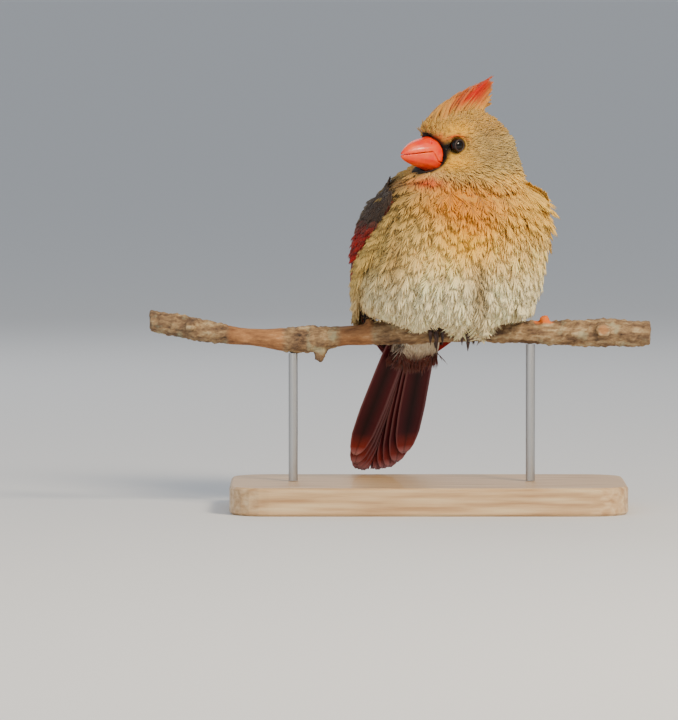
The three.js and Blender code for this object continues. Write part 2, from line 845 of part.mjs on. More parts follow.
// The trunk, neck and head are made whole and parted by thin cuts
const trunk = framed(bird, leaned(torsoShape()));
const hemLocks = hem.tips.map(hemLock).reduce((sum, lock) => sum.add(lock));
const headMass = [lids(-1), lids(1)].reduce((sum, ring) => sum.add(ring), headShape());
let whole = trunk.add(neckShape()).add(framed(skull, headMass)).add(hemLocks);
for (const side of [-1, 1]) whole = whole.subtract(framed(bird, leaned(wingCore(side, gap))));

// The parts of a solid on either side of a plane, a gap apart
function part(made, normal, through) {
  const n = point(...normal).normalize();
  const middle = n.dot(point(...through));
  const over = made.trimByPlane(n.toArray(), middle + gap / 2);
  const under = made.trimByPlane(n.clone().negate().toArray(), -middle + gap / 2);
  return [over, under];
}
const [headPart, rest] = part(whole, [-0.3, -0.2, 1], [6, -12, 144.5]);
const [neckPart, torsoPart] = part(rest, [0.02, -0.1, 1], [14, 0, 138.5]);

let headSolid = headPart.subtract(framed(skull, billShape(gap)));
for (const side of [-1, 1]) headSolid = headSolid.subtract(framed(skull, eyeball(side, gap)));
const crestSolid = largest(framed(skull, crestShape()));
headSolid = largest(headSolid);
const crestClear = largest(crestSolid.subtract(framed(skull, headShape(gap))));

let trunkSolid = torsoPart.subtract(perchSolid(gap)).subtract(framed(rump, tailCore(tail.room)));
trunkSolid = trunkSolid.subtract(framed(rump, ventCore(gap)));
const featherRoom = new THREE.BoxGeometry(...tail.roots);
featherRoom.translate(0, 0.2, -tail.roots[2] / 2 - 1.5);
trunkSolid = trunkSolid.subtract(framed(rump, solid(featherRoom)));
for (const x of [feet.left, feet.right]) trunkSolid = trunkSolid.subtract(legShape(x, gap));
const footRoom = new THREE.BoxGeometry(26, 19, 18);
footRoom.translate((feet.left + feet.right) / 2, 0, feet.perchUp);
trunkSolid = trunkSolid.subtract(solid(footRoom));

const tailSolid = framed(rump, tailShape());
const ventSolid = largest(framed(rump, ventShape()).subtract(perchSolid(gap)));
const foot = (x, side) => largest(footShape(x, side).subtract(perchShape(gap)));

show(skull, "head", headSolid, colour.head);
show(skull, "crest", crestClear, colour.crest);
show(skull, "upper_beak", upperBeak, colour.bill, 0.35);
show(skull, "lower_beak", lowerBeak, colour.bill, 0.35);
show(skull, "eye_left", framed(skull, eyeball(1)), colour.eye, 0.1);
show(skull, "eye_right", framed(skull, eyeball(-1)), colour.eye, 0.1);
show(model, "neck", largest(neckPart), colour.neck);
show(bird, "torso", largest(trunkSolid), colour.breast);
show(bird, "wing_left", framed(bird, leaned(wingShape(1))), colour.wing);
show(bird, "wing_right", framed(bird, leaned(wingShape(-1))), colour.wing);
show(rump, "tail", tailSolid, colour.tail);
show(rump, "undertail_coverts", ventSolid, colour.vent);
show(model, "foot_left", foot(feet.left, 1), colour.foot);
show(model, "foot_right", foot(feet.right, -1), colour.foot);
show(model, "leg_left", legShape(feet.left), colour.foot);
show(model, "leg_right", legShape(feet.right), colour.foot);
show(model, "perch", perchSolid(), colour.bark);
show(model, "stand_base", baseSolid(), colour.stand, 0.5);
show(model, "stand_rod_left", rodSolid(rod.left), colour.rod, 0.4);
show(model, "stand_rod_right", rodSolid(rod.right), colour.rod, 0.4);

export default model;
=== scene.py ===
# Northern cardinal, female, fluffed up on a cut branch over a plain display stand.
# Lengths in the dictionaries are millimetres in the model's own frame, and angles are degrees,
# unless a note says otherwise.
import math

import bpy
import numpy as np
from mathutils import Matrix, Vector


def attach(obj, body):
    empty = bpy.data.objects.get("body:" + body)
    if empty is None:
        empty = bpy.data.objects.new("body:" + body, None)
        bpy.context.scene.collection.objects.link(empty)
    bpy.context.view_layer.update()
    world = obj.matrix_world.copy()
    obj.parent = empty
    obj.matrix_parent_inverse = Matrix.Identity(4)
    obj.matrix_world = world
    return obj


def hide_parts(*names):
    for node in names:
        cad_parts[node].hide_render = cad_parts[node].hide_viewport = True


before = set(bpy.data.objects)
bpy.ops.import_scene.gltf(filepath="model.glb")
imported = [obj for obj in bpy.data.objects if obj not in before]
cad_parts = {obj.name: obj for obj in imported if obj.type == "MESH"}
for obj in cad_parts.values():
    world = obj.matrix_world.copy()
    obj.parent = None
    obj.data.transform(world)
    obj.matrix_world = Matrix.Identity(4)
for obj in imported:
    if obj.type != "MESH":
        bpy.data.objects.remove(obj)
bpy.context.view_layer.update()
mm = 0.001
rng = np.random.default_rng(7)


# Basic helpers

def toLinear(hexColour):
    parts = [int(hexColour.lstrip("#")[i:i + 2], 16) / 255 for i in (0, 2, 4)]
    return [c / 12.92 if c <= 0.04045 else ((c + 0.055) / 1.055) ** 2.4 for c in parts]


def rgba(hexColour):
    return (*toLinear(hexColour), 1)


def turned(place, yaw, tilt=0):
    turn = Matrix.Rotation(math.radians(yaw), 4, "Z") @ Matrix.Rotation(math.radians(tilt), 4, "X")
    return np.array(Matrix.Translation(place) @ turn)


def toWorld(frameMatrix, points):
    points = np.asarray(points, float)
    return points @ frameMatrix[:3, :3].T + frameMatrix[:3, 3]


def toLocal(frameMatrix, points):
    return (np.asarray(points, float) - frameMatrix[:3, 3]) @ frameMatrix[:3, :3]


def unit(v):
    return v / np.maximum(np.linalg.norm(v, axis=-1, keepdims=True), 1e-9)


def ease(x, low, high):
    t = np.clip((x - low) / (high - low), 0, 1)
    return t * t * (3 - 2 * t)


# The same frames as the solids: trunk, head and tail
headYaw = -50
bodyFrame = turned((8, 0, 0), 22)
headFrame = turned((5.75, -9.7, 156.4), headYaw)
tailFrame = turned((-2.5, 18, 89), 30, 30)


# Camera, light and floor

stage = {
    "aim": (-38.3, 0, 64.2), "distance": 3000, "elevation": 3, "lens": 349, "sensor": 36,
    "farthest": 600, "floorSize": 500,  # metres
    "lamps": {  # watts, size in metres, place in metres, tint
        "keySun": (30, 0.4, (0.75, -1.0, 1.0), "#ffeccf"),
        "windowFill": (10, 1.8, (-0.9, -1.3, 0.5), "#f4f1ec"),
        "backRim": (3.5, 0.9, (-0.3, 1.1, 0.9), "#ffffff"),
    },
    "sky": "#dfe3e8", "skyStrength": 0.6,
}


def setStage():
    lift = math.radians(stage["elevation"])
    aim = Vector(stage["aim"]) * mm
    eye = aim + Vector((0, -math.cos(lift), math.sin(lift))) * stage["distance"] * mm
    bpy.ops.object.camera_add(location=eye, rotation=(math.radians(90) - lift, 0, 0))
    camera = bpy.context.object
    camera.name = "portraitCamera"
    camera.data.lens = stage["lens"]
    camera.data.sensor_width = stage["sensor"]
    camera.data.clip_end = stage["farthest"]
    bpy.context.scene.camera = camera

    for name, (watts, size, place, tint) in stage["lamps"].items():
        bpy.ops.object.light_add(type="AREA", location=place)
        lamp = bpy.context.object
        lamp.name = name
        lamp.data.energy = watts
        lamp.data.size = size
        lamp.data.color = toLinear(tint)
        lamp.rotation_euler = (aim - Vector(place)).to_track_quat("-Z", "Y").to_euler()

    world = bpy.data.worlds.new("paleRoom")
    world.use_nodes = True
    background = world.node_tree.nodes["Background"]
    background.inputs[0].default_value = rgba(stage["sky"])
    background.inputs[1].default_value = stage["skyStrength"]
    bpy.context.scene.world = world

    bpy.ops.mesh.primitive_plane_add(size=stage["floorSize"], location=(0, 0, 0))
    floor = bpy.context.object
    floor.name = "paleFloor"
    floor.data.materials.append(paperFloor())
    print("stage set")


# Materials

def addNode(tree, kind, links=None, values=None, **settings):
    node = tree.nodes.new(kind)
    for key, value in settings.items():
        setattr(node, key, value)
    setInputs(node, values or {})
    for socket, source in (links or {}).items():
        tree.links.new(source, node.inputs[socket])
    return node


def setInputs(node, values):
    for socket, value in values.items():
        node.inputs[socket].default_value = value


def newMaterial(name, values):
    material = bpy.data.materials.new(name)
    material.use_nodes = True
    tree = material.node_tree
    shader = tree.nodes["Principled BSDF"]
    setInputs(shader, values)
    return material, tree, shader


def ramp(tree, source, stops):
    node = addNode(tree, "ShaderNodeValToRGB", {0: source})
    elements = node.color_ramp.elements
    while len(elements) < len(stops):
        elements.new(0.5)
    for element, (place, colour) in zip(elements, stops):
        element.position = place
        element.color = rgba(colour) if isinstance(colour, str) else (colour, colour, colour, 1)
    return node.outputs[0]


def bump(tree, shader, height, distance, strength):
    node = addNode(tree, "ShaderNodeBump", {"Height": height}, {"Distance": distance, "Strength": strength})
    tree.links.new(node.outputs[0], shader.inputs["Normal"])


def pattern(tree, kind, size, stretch=None, **values):
    # a noise or cell pattern of the given size in metres, stretched along the object's axes
    vector = addNode(tree, "ShaderNodeTexCoord").outputs["Object"]
    if stretch:
        vector = addNode(tree, "ShaderNodeMapping", {"Vector": vector}, {"Scale": stretch}).outputs[0]
    return addNode(tree, kind, {"Vector": vector}, {"Scale": 1 / size, **values}).outputs[0]


def marked(tree, shader, shade):
    # the markings are worked out for each feather and kept on the mesh, shaded a little by a pattern
    marks = addNode(tree, "ShaderNodeAttribute", attribute_name="plumage").outputs["Color"]
    mix = addNode(tree, "ShaderNodeMixRGB", {1: marks, 2: shade}, {0: 1}, blend_type="MULTIPLY")
    tree.links.new(mix.outputs[0], shader.inputs["Base Color"])


def paperFloor():
    # matt seamless paper, pale and even
    return newMaterial("seamlessPaper", {"Base Color": rgba("#dcdfe3"), "Roughness": 0.85})[0]


def plumageMaterial():
    # down and contour feathers: matt, with a soft sheen where the barbs catch the light
    material, tree, shader = newMaterial("downyPlumage", {
        "Roughness": 0.8, "Sheen Weight": 0.12, "Sheen Roughness": 0.4, "Specular IOR Level": 0.2,
        "Subsurface Weight": 0.08, "Subsurface Radius": (0.0014, 0.0011, 0.0007)})
    mottle = pattern(tree, "ShaderNodeTexNoise", 1.6 * mm, Detail=3)
    marked(tree, shader, ramp(tree, mottle, [(0.3, 0.88), (0.7, 1.0)]))
    return material


def vaneMaterial():
    # stiff flight feathers: fine barbs run out from the shaft, drawn from the UV map
    material, tree, shader = newMaterial("flightFeather", {"Roughness": 0.55, "Specular IOR Level": 0.22})
    barbUv = addNode(tree, "ShaderNodeUVMap", uv_map="barbs")
    wave = addNode(tree, "ShaderNodeTexWave", {"Vector": barbUv.outputs[0]}, {"Scale": 26, "Distortion": 1.2},
                   wave_type="BANDS", bands_direction="Y").outputs[1]
    marked(tree, shader, ramp(tree, wave, [(0.2, 0.8), (0.8, 1.0)]))
    bump(tree, shader, wave, 0.05 * mm, 0.5)
    return material


def hornMaterial():
    # the bill's horn: smooth and waxy, light passes a little way into it
    material, tree, shader = newMaterial("coralHorn", {
        "Roughness": 0.33, "Subsurface Weight": 0.05, "Subsurface Radius": (0.001, 0.0005, 0.0003),
        "Coat Weight": 0.25, "Coat Roughness": 0.2})
    clouds = pattern(tree, "ShaderNodeTexNoise", 5 * mm)
    tree.links.new(ramp(tree, clouds, [(0.35, "#e62a00"), (0.7, "#f6560a")]), shader.inputs["Base Color"])
    bump(tree, shader, pattern(tree, "ShaderNodeTexNoise", 0.7 * mm), 0.05 * mm, 0.4)
    return material


def eyeMaterial():
    # wet dark eye: deep brown iris under a clear cornea
    return newMaterial("wetEye", {
        "Base Color": rgba("#070303"), "Roughness": 0.05, "Coat Weight": 0.15, "Coat Roughness": 0.02,
        "Specular IOR Level": 0.25})[0]


def lidMaterial():
    # bare dark skin of the lids
    return newMaterial("lidSkin", {"Base Color": rgba("#2a1915"), "Roughness": 0.55})[0]


def footMaterial():
    # scaly toes: dark reddish brown, scutes about 1 mm long
    material, tree, shader = newMaterial("scalyToes", {"Roughness": 0.5})
    cells = pattern(tree, "ShaderNodeTexVoronoi", 1.0 * mm)
    tree.links.new(ramp(tree, cells, [(0.1, "#5a3a31"), (0.6, "#2c1916")]), shader.inputs["Base Color"])
    bump(tree, shader, cells, 0.2 * mm, 0.7)
    return material


def barkMaterial():
    # dead twig bark: grey-brown plates over orange-brown wood, with lichen in blotches.
    # The grain runs along the branch, so its pattern is stretched along X
    material, tree, shader = newMaterial("lichenedBark", {"Roughness": 0.82})
    plates = pattern(tree, "ShaderNodeTexNoise", 3.2 * mm, (0.35, 1, 1), Detail=8, Roughness=0.7)
    tint = ramp(tree, plates, [(0.3, "#2f2219"), (0.43, "#6b523b"), (0.55, "#977c59"), (0.68, "#c0ad89")])
    lichen = pattern(tree, "ShaderNodeTexNoise", 7 * mm, Detail=5)
    grown = addNode(tree, "ShaderNodeMixRGB", {0: ramp(tree, lichen, [(0.56, 0.0), (0.68, 0.6)]), 1: tint},
                    {2: rgba("#a9a888")})
    heart = ramp(tree, plates, [(0.35, "#6d4528"), (0.6, "#a9784c"), (0.75, "#cfa77c")])
    bare = addNode(tree, "ShaderNodeAttribute", attribute_name="bareWood").outputs["Fac"]
    wood = addNode(tree, "ShaderNodeMixRGB", {0: bare, 1: grown.outputs[0], 2: heart})
    bud = addNode(tree, "ShaderNodeAttribute", attribute_name="budColour").outputs["Fac"]
    final = addNode(tree, "ShaderNodeMixRGB", {0: bud, 1: wood.outputs[0]}, {2: rgba("#e2701f")})
    tree.links.new(final.outputs[0], shader.inputs["Base Color"])
    bump(tree, shader, plates, 0.8 * mm, 0.8)
    return material


def plinthMaterial():
    # planed beech with a thin wax: fine straight grain along X, pores about 2 mm apart
    material, tree, shader = newMaterial("waxedBeech", {"Roughness": 0.42, "Coat Weight": 0.15})
    grain = pattern(tree, "ShaderNodeTexNoise", 2.4 * mm, (0.06, 1, 1), Detail=6)
    tint = ramp(tree, grain, [(0.3, "#a9835a"), (0.5, "#c8a67c"), (0.72, "#dcc29a")])
    tree.links.new(tint, shader.inputs["Base Color"])
    bump(tree, shader, grain, 0.08 * mm, 0.4)
    return material


def rodMaterial():
    # drawn steel rod, brushed along its length
    material, tree, shader = newMaterial("drawnSteel", {"Base Color": rgba("#b9babb"), "Metallic": 1})
    lines = pattern(tree, "ShaderNodeTexNoise", 0.25 * mm, (1, 1, 0.02))
    tree.links.new(ramp(tree, lines, [(0.3, 0.28), (0.7, 0.42)]), shader.inputs["Roughness"])
    return material


# Mesh helpers

def select(*objects):
    bpy.ops.object.select_all(action="DESELECT")
    for piece in objects:
        piece.select_set(True)
    bpy.context.view_layer.objects.active = objects[0]


def copyOf(name, *nodes):
    copies = []
    for node in nodes:
        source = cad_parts[node]
        piece = bpy.data.objects.new(name, source.data.copy())
        piece.data.materials.clear()
        bpy.context.scene.collection.objects.link(piece)
        copies.append(piece)
    select(*copies)
    if len(copies) > 1:
        bpy.ops.object.join()
    piece = bpy.context.view_layer.objects.active
    piece.name = name
    bpy.ops.object.mode_set(mode="EDIT")
    bpy.ops.mesh.select_all(action="SELECT")
    bpy.ops.mesh.remove_doubles(threshold=1e-6)
    bpy.ops.object.mode_set(mode="OBJECT")
    return piece


def remeshed(piece, voxel, rounds):
    select(piece)
    block = piece.modifiers.new("voxels", "REMESH")
    block.mode = "VOXEL"
    block.voxel_size = voxel * mm
    bpy.ops.object.modifier_apply(modifier=block.name)
    soft = piece.modifiers.new("soften", "SMOOTH")
    soft.iterations = rounds
    bpy.ops.object.modifier_apply(modifier=soft.name)
    piece.data.shade_smooth()
    return piece


def spotsOf(mesh):
    spots = np.empty(len(mesh.vertices) * 3)
    mesh.vertices.foreach_get("co", spots)
    return spots.reshape(-1, 3) / mm


def placeSpots(mesh, spots):
    mesh.vertices.foreach_set("co", (spots * mm).ravel())
    mesh.update()


def normalsOf(mesh):
    normals = np.empty(len(mesh.vertices) * 3)
    mesh.vertices.foreach_get("normal", normals)
    return normals.reshape(-1, 3)


def paint(mesh, colours):
    layer = mesh.color_attributes.new("plumage", "FLOAT_COLOR", "POINT")
    full = np.ones((len(colours), 4))
    full[:, :3] = colours
    layer.data.foreach_set("color", full.ravel())


def meshFrom(name, spots, faces, colours, bakeUv, barbs=None):
    mesh = bpy.data.meshes.new(name)
    mesh.vertices.add(len(spots))
    mesh.vertices.foreach_set("co", (np.asarray(spots) * mm).ravel())
    faces = np.asarray(faces)
    corners = faces.shape[1]
    mesh.loops.add(faces.size)
    mesh.loops.foreach_set("vertex_index", faces.ravel())
    mesh.polygons.add(len(faces))
    mesh.polygons.foreach_set("loop_start", np.arange(0, faces.size, corners))
    mesh.polygons.foreach_set("loop_total", np.full(len(faces), corners))
    mesh.update(calc_edges=True)
    mesh.validate()
    mesh.shade_smooth()
    paint(mesh, colours)
    for layerName, uv in (("OFBake", bakeUv), ("barbs", barbs)):
        if uv is not None:
            layer = mesh.uv_layers.new(name=layerName)
            layer.data.foreach_set("uv", np.asarray(uv)[faces.ravel()].ravel())
    piece = bpy.data.objects.new(name, mesh)
    bpy.context.scene.collection.objects.link(piece)
    return piece


def wear(piece, material, slot, *nodes):
    piece.data.materials.clear()
    piece.data.materials.append(material)
    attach(piece, "root")
    if nodes:
        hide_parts(*nodes)
    return piece


def unwrapped(spots):
    # wrapped round an upright line through the trunk, from the tail's tip to the crest's
    around = np.arctan2(spots[:, 0] - 13, -(spots[:, 1] + 1)) / (2 * math.pi) + 0.5
    return np.stack([around, (spots[:, 2] - 10) / 180], axis=1)


def bakeMap(mesh, spots):
    corners = np.empty(len(mesh.loops), int)
    mesh.loops.foreach_get("vertex_index", corners)
    layer = mesh.uv_layers.new(name="OFBake")
    layer.data.foreach_set("uv", unwrapped(spots)[corners].ravel())


# Markings, worked out from where a feather is rooted

plumage = {
    "breast": "#ea9200", "amber": "#ffc02c", "cream": "#fbd88a", "belly": "#f8eabc",
    "flank": "#cdac62", "mantle": "#8f7d5c", "shoulder": "#4a3c33", "nape": "#c2a564",
    "cheek": "#cfa04c", "crown": "#c99c4c", "mask": "#0d0706", "rose": "#d63a04",
    "crest": "#bd1a00", "throat": "#d8c08a", "earShade": "#a1804c", "streak": "#a98450",
    # on the next line, the first colour is painted shade for a fold in the fluffed belly plumage
    "paintedFoldShade": "#9d8456", "wingRed": "#a51d16", "paleShoulder": "#f0c15e",
}


def tintsOf(table, *names):
    return [np.array(toLinear(table[name])) for name in names]


inks = dict(zip(plumage, tintsOf(plumage, *plumage)))


def blob(points, centre, size):
    return np.exp(-(((points - np.array(centre)) / np.array(size)) ** 2).sum(axis=1))[:, None]


def blend(base, ink, amount):
    return base * (1 - amount) + inks[ink] * amount


frontMarks = [  # ink, amount, middle across and up, reach across and up
    ("amber", 0.85, (17, 114), (17, 10)), ("breast", 0.95, (14, 131), (20, 8.5)),
    ("breast", 0.5, (20, 122), (12, 7)), ("flank", 0.75, (-20, 114), (13, 20)),
    # on the next line, the second mark is painted shade: a narrow upright olive-grey band along a fold low on
    # the belly
    ("streak", 0.5, (-15, 107), (3, 16)), ("paintedFoldShade", 0.9, (21.5, 92), (3, 12)),
]


def markings(spots):
    body = toLocal(bodyFrame, spots)
    skull = toLocal(headFrame, spots)
    x, z = spots[:, 0], spots[:, 2]
    upright = spots * (1, 0, 1)
    col = lambda values: np.asarray(values)[:, None]
    front = col(ease(-body[:, 1], -16, 12))
    colours = np.tile(inks["mantle"], (len(spots), 1))
    colours = blend(colours, "flank", col(ease(-body[:, 1], -30, 2)))
    colours = blend(colours, "cream", front * col(ease(x, -26, -2)) * col(ease(-z, -126, -108)))
    colours = blend(colours, "paleShoulder", front * col(ease(x, 22, 40)) * col(ease(z, 108, 122)))
    colours = blend(colours, "belly", front * col(ease(-z, -108, -90)))
    for ink, amount, (across, up), (wide, high) in frontMarks:
        colours = blend(colours, ink, amount * front * blob(upright, (across, 0, up), (wide, 9, high)))
    # dark blob on the bird's right shoulder: partly the coverts' own dark olive-brown, partly painted shadow
    # on the side away from the key light
    colours = blend(colours, "shoulder", 0.95 * blob(spots, (-19, -16, 138), (9, 22, 9)))
    # head and neck
    hx, hy, hz = skull.T
    side = np.abs(hx)
    upper = col(ease(z, 141, 148))
    colours = blend(colours, "nape", upper * col(ease(hy, 0, 18)))
    colours = blend(colours, "cheek", upper * col(ease(-hy, -16, 2)))
    colours = blend(colours, "crown", col(ease(hz, 3, 9)))
    colours = blend(colours, "earShade", 0.7 * upper * blob(np.abs(skull), (15, 16, 5), (5, 6, 4.5)))
    colours = blend(colours, "amber", 0.9 * blob(np.abs(skull) * (1, 1, -1), (10.5, 2, -7.5), (4, 5, 4)))
    colours = blend(colours, "throat", 0.75 * blob(skull, (0, -9, -13.5), (8, 5, 3)))
    colours = blend(colours, "rose", 0.85 * blob(upright, (-1, 0, 139.5), (8, 9, 2.4)) * front)
    # black mask round the bill and in front of the eye, then the rose brow over the eye
    around = np.hypot(side / 6.4, (hz + 3.4) / 7.4)
    rim = ease(-np.abs(around - 1.02), -0.46, -0.2) * ease(-hy, 1.0, 3.4)
    colours = blend(colours, "mask", col(np.clip(rim * 1.05, 0, 1)))
    lores = np.exp(-(((hy + 3.8) / 3.6) ** 2) - ((hz + 0.3) / 2.7) ** 2) * ease(side, 4, 6)
    colours = blend(colours, "mask", col(np.clip(lores * 1.2, 0, 1)))
    brow = np.exp(-(((hy + 0.4) / 4.0) ** 2) - ((hz - 4.1 + 0.05 * hy * hy) / 1.0) ** 2) * ease(side, 4, 7)
    colours = blend(colours, "rose", 0.95 * col(brow))
    spot = np.exp(-(((hy + 6.6) / 1.7) ** 2) - ((hz - 4.4) / 1.3) ** 2) * ease(side, 2, 5)
    colours = blend(colours, "rose", 0.6 * col(spot))
    return np.clip(colours, 0, 1)


# The lie of the coat: back from the bill over the head, down over the body

def lieOf(spots, normals):
    skull = toLocal(headFrame, spots)
    fromBill = skull - np.array((0, -13, -4))
    fromBill[:, 0] *= 0.55
    fromBill[:, 1] += 2
    headLie = unit(fromBill) @ headFrame[:3, :3].T
    down = np.array((0, 0.30, -0.95)) @ bodyFrame[:3, :3].T
    aside = unit((spots - np.array((12, 0, 110))) * (1, 1, 0))
    bodyLie = unit(np.tile(down, (len(spots), 1)) + 0.35 * aside * ease(spots[:, 2:], 128, 150))
    share = ease(spots[:, 2:], 140, 152)
    lie = unit(headLie * share + bodyLie * (1 - share))
    lie = lie - 0.92 * normals * (lie * normals).sum(axis=1, keepdims=True)
    return unit(lie)


def rooted(mesh, count, spacing=None):
    spots, normals = spotsOf(mesh), normalsOf(mesh)
    mesh.calc_loop_triangles()
    triangles = np.empty(len(mesh.loop_triangles) * 3, int)
    mesh.loop_triangles.foreach_get("vertices", triangles)
    triangles = triangles.reshape(-1, 3)
    a, b, c = (spots[triangles[:, k]] for k in range(3))
    area = np.linalg.norm(np.cross(b - a, c - a), axis=1)
    chosen = rng.choice(len(triangles), count, p=area / area.sum())
    r1, r2 = np.sqrt(rng.random((count, 1))), rng.random((count, 1))
    weights = np.hstack([1 - r1, r1 * (1 - r2), r1 * r2])[:, :, None]
    at = (spots[triangles[chosen]] * weights).sum(axis=1)
    out = unit((normals[triangles[chosen]] * weights).sum(axis=1))
    if spacing is None:
        return at, out
    keep, taken = [], {}
    for i, spot in enumerate(at):  # one feather at least a spacing away from the last ones
        cell = tuple((spot // spacing).astype(int))
        near = [taken.get((cell[0] + i1, cell[1] + j1, cell[2] + k1), ())
                for i1 in (-1, 0, 1) for j1 in (-1, 0, 1) for k1 in (-1, 0, 1)]
        if all(np.dot(at[j] - spot, at[j] - spot) > spacing ** 2 for group in near for j in group):
            taken.setdefault(cell, []).append(i)
            keep.append(i)
    return at[keep], out[keep]


# Many small locks at once: each is closed, with three sides that taper to a point

lock = {"rings": 3, "curl": 0.4, "flat": 0.35, "patch": 0.003}  # the patch is its part of the UV map


def lockMesh(name, at, out, lie, length, width, lift, colours, tipColours):
    count, rings = len(at), lock["rings"]
    side = unit(np.cross(out, lie))
    section = np.array([(-1, 0), (0, 1), (1, 0)])
    spots, shades = [], []
    for k, t in enumerate(np.linspace(0, 1, rings + 1)):
        rise = np.sin(lift)[:, None] * t - lock["curl"] * t * t * np.sin(lift)[:, None]
        middle = at + length[:, None] * (lie * np.cos(lift)[:, None] * t + out * rise)
        wide = width[:, None] * (0.55 + 1.2 * t) * (1 - t) ** 0.6
        # each lock is painted darker towards its root, down to 0.82: painted shade deep in the coat; towards
        # the end it blends into the tip colour
        shade = colours * (0.82 + 0.18 * min(1, t * 2.2)) * (1 - t) + tipColours * t
        if k == rings:
            spots.append(middle[:, None, :])
            shades.append(shade[:, None, :])
            continue
        corners = [middle + wide * (a * side + b * lock["flat"] * 2 * out) for a, b in section]
        spots.append(np.stack(corners, axis=1))
        shades.append(np.repeat(shade[:, None, :], 3, axis=1))
    per = 3 * rings + 1
    spots = np.concatenate(spots, axis=1).reshape(-1, 3)
    shades = np.concatenate(shades, axis=1).reshape(-1, 3)
    faces = [(0, 1, 2)]
    for k in range(rings - 1):
        for j in range(3):
            a, b = 3 * k + j, 3 * k + (j + 1) % 3
            faces += [(a, a + 3, b), (b, a + 3, b + 3)]
    last = 3 * (rings - 1)
    faces += [(last + j, per - 1, last + (j + 1) % 3) for j in range(3)]
    faces = (np.arange(count)[:, None, None] * per + np.array(faces)[None]).reshape(-1, 3)
    patch = np.tile(np.linspace(0, 1, per)[:, None], (count, 2))
    uv = np.repeat(unwrapped(at), per, axis=0) + lock["patch"] * patch
    return meshFrom(name, spots, faces, shades, uv)


coat = {
    "depth": 3.4,          # how far the skin lies under the coat's surface
    "bodySpacing": 2.7,    # between the roots of two body feathers
    "headSpacing": 1.25,
    "bodyBarbs": 21,       # locks of barbs that make up one feather
    "headBarbs": 7,
    "perPiece": 11500,     # locks in one mesh
    "bodyLength": 13.5, "bodyLift": 10, "headLift": 9,
    "faceLength": 2.0, "napeGain": 4.4,           # short by the bill, longer to the nape
    "browLength": 3, "browLift": 24,              # the tuft over the bill
    "puffLength": 0.8, "puffLift": 2,             # the fluffed shoulder
    "ledgeLift": 6, "ledgeHeight": 139,           # the collar over the breast
    "lockWidth": 0.062, "narrowest": 0.15, "widest": 0.5,  # first a share of the feather's length
    "shortest": 1.2,       # a lock that the hem leaves shorter is left out
    "skinVoxel": 1.3, "skinRounds": 6,
}
billRoot = np.array((0, -9, -2))  # in the head's frame


def coatSizes(at):
    skull = toLocal(headFrame, at)
    fromBill = np.linalg.norm(skull - billRoot, axis=1)
    head = ease(at[:, 2], 140, 152)
    face = coat["faceLength"] + coat["napeGain"] * ease(fromBill, 5, 26)
    length = coat["bodyLength"] * (1 - head) + face * head
    lift = coat["bodyLift"] * (1 - head) + coat["headLift"] * head
    brow = np.exp(-(((skull - np.array((0, -10, 6))) / (7, 5, 4)) ** 2).sum(axis=1))
    puff = ease(at[:, 0], 28, 40) * ease(at[:, 2], 120, 132) * (1 - head)
    ledge = np.exp(-(((at[:, 2] - coat["ledgeHeight"]) / 5) ** 2)) * ease(-at[:, 1], 0, 12)
    length = length + coat["browLength"] * brow + coat["puffLength"] * puff
    lift = lift + coat["browLift"] * brow + coat["puffLift"] * puff + coat["ledgeLift"] * ledge
    return length, np.radians(lift)


# Each feather is a fan of barbs on both sides of its shaft, ending in a rounded, ragged edge

barb = {
    "first": 0.04, "run": 0.58, "sway": 0.04,        # where it starts, as shares of the feather's length
    "length": 0.62, "shorter": 0.22,                 # its own length, as shares of the same
    "spread": 0.58, "least": 0.03, "stray": 0.12,    # how far it turns from the shaft, in radians
    "sunk": 0.25,
}


def fanned(at, out, lie, length, lift, barbs):
    side = unit(np.cross(out, lie))
    starts, lies, lengths, owner = [], [], [], []
    for j in range(barbs):
        share = (j + 0.5) / barbs
        hand = 1 if j % 2 else -1
        along = barb["first"] + barb["run"] * share + rng.uniform(-barb["sway"], barb["sway"], len(at))
        spread = hand * (barb["spread"] * (1 - share) ** 0.8 + barb["least"])
        spread = spread + rng.normal(0, barb["stray"], len(at))
        spine = lie * np.cos(lift)[:, None] + out * np.sin(lift)[:, None]
        starts.append(at + spine * (along * length)[:, None] - out * barb["sunk"])
        lies.append(lie * np.cos(spread)[:, None] + side * np.sin(spread)[:, None])
        part = barb["length"] - barb["shorter"] * share
        lengths.append(length * part * rng.uniform(0.85, 1.15, len(at)))
        owner.append(np.arange(len(at)))  # the feather that each lock belongs to
    return np.vstack(starts), unit(np.vstack(lies)), np.concatenate(lengths), np.concatenate(owner)


def bareRooms(at):
    # no feather grows where the eyes and the bill are
    skull = toLocal(headFrame, at)
    side = np.abs(skull[:, 0])
    eyes = (np.hypot(skull[:, 1], skull[:, 2] - 0.4) < 2.6) & (side > 5)
    billRoom = (skull[:, 1] < -5.5) & (np.hypot(side / 5.6, (skull[:, 2] + 3.4) / 6.6) < 1)
    return ~(eyes | billRoom)


def skinPiece():
    skin = copyOf("feltedSkin", "torso", "neck", "head")
    remeshed(skin, coat["skinVoxel"], coat["skinRounds"])
    spots = spotsOf(skin.data)
    nearBill = np.linalg.norm(toLocal(headFrame, spots) - billRoot, axis=1)
    inset = coat["depth"] * (0.12 + 0.88 * ease(nearBill, 8, 30))
    placeSpots(skin.data, spots - normalsOf(skin.data) * inset[:, None])
    # the skin under the coat is painted 15% darker than the markings: painted shade deep between the feathers
    paint(skin.data, markings(spots) * 0.85)
    bakeMap(skin.data, spots)
    wear(skin, finishes["down"], "body_plumage", "torso", "neck", "head")
    print("skin", len(skin.data.polygons))
    return skin


# The lower edge of the coat across the front: higher over the feet, down to points between

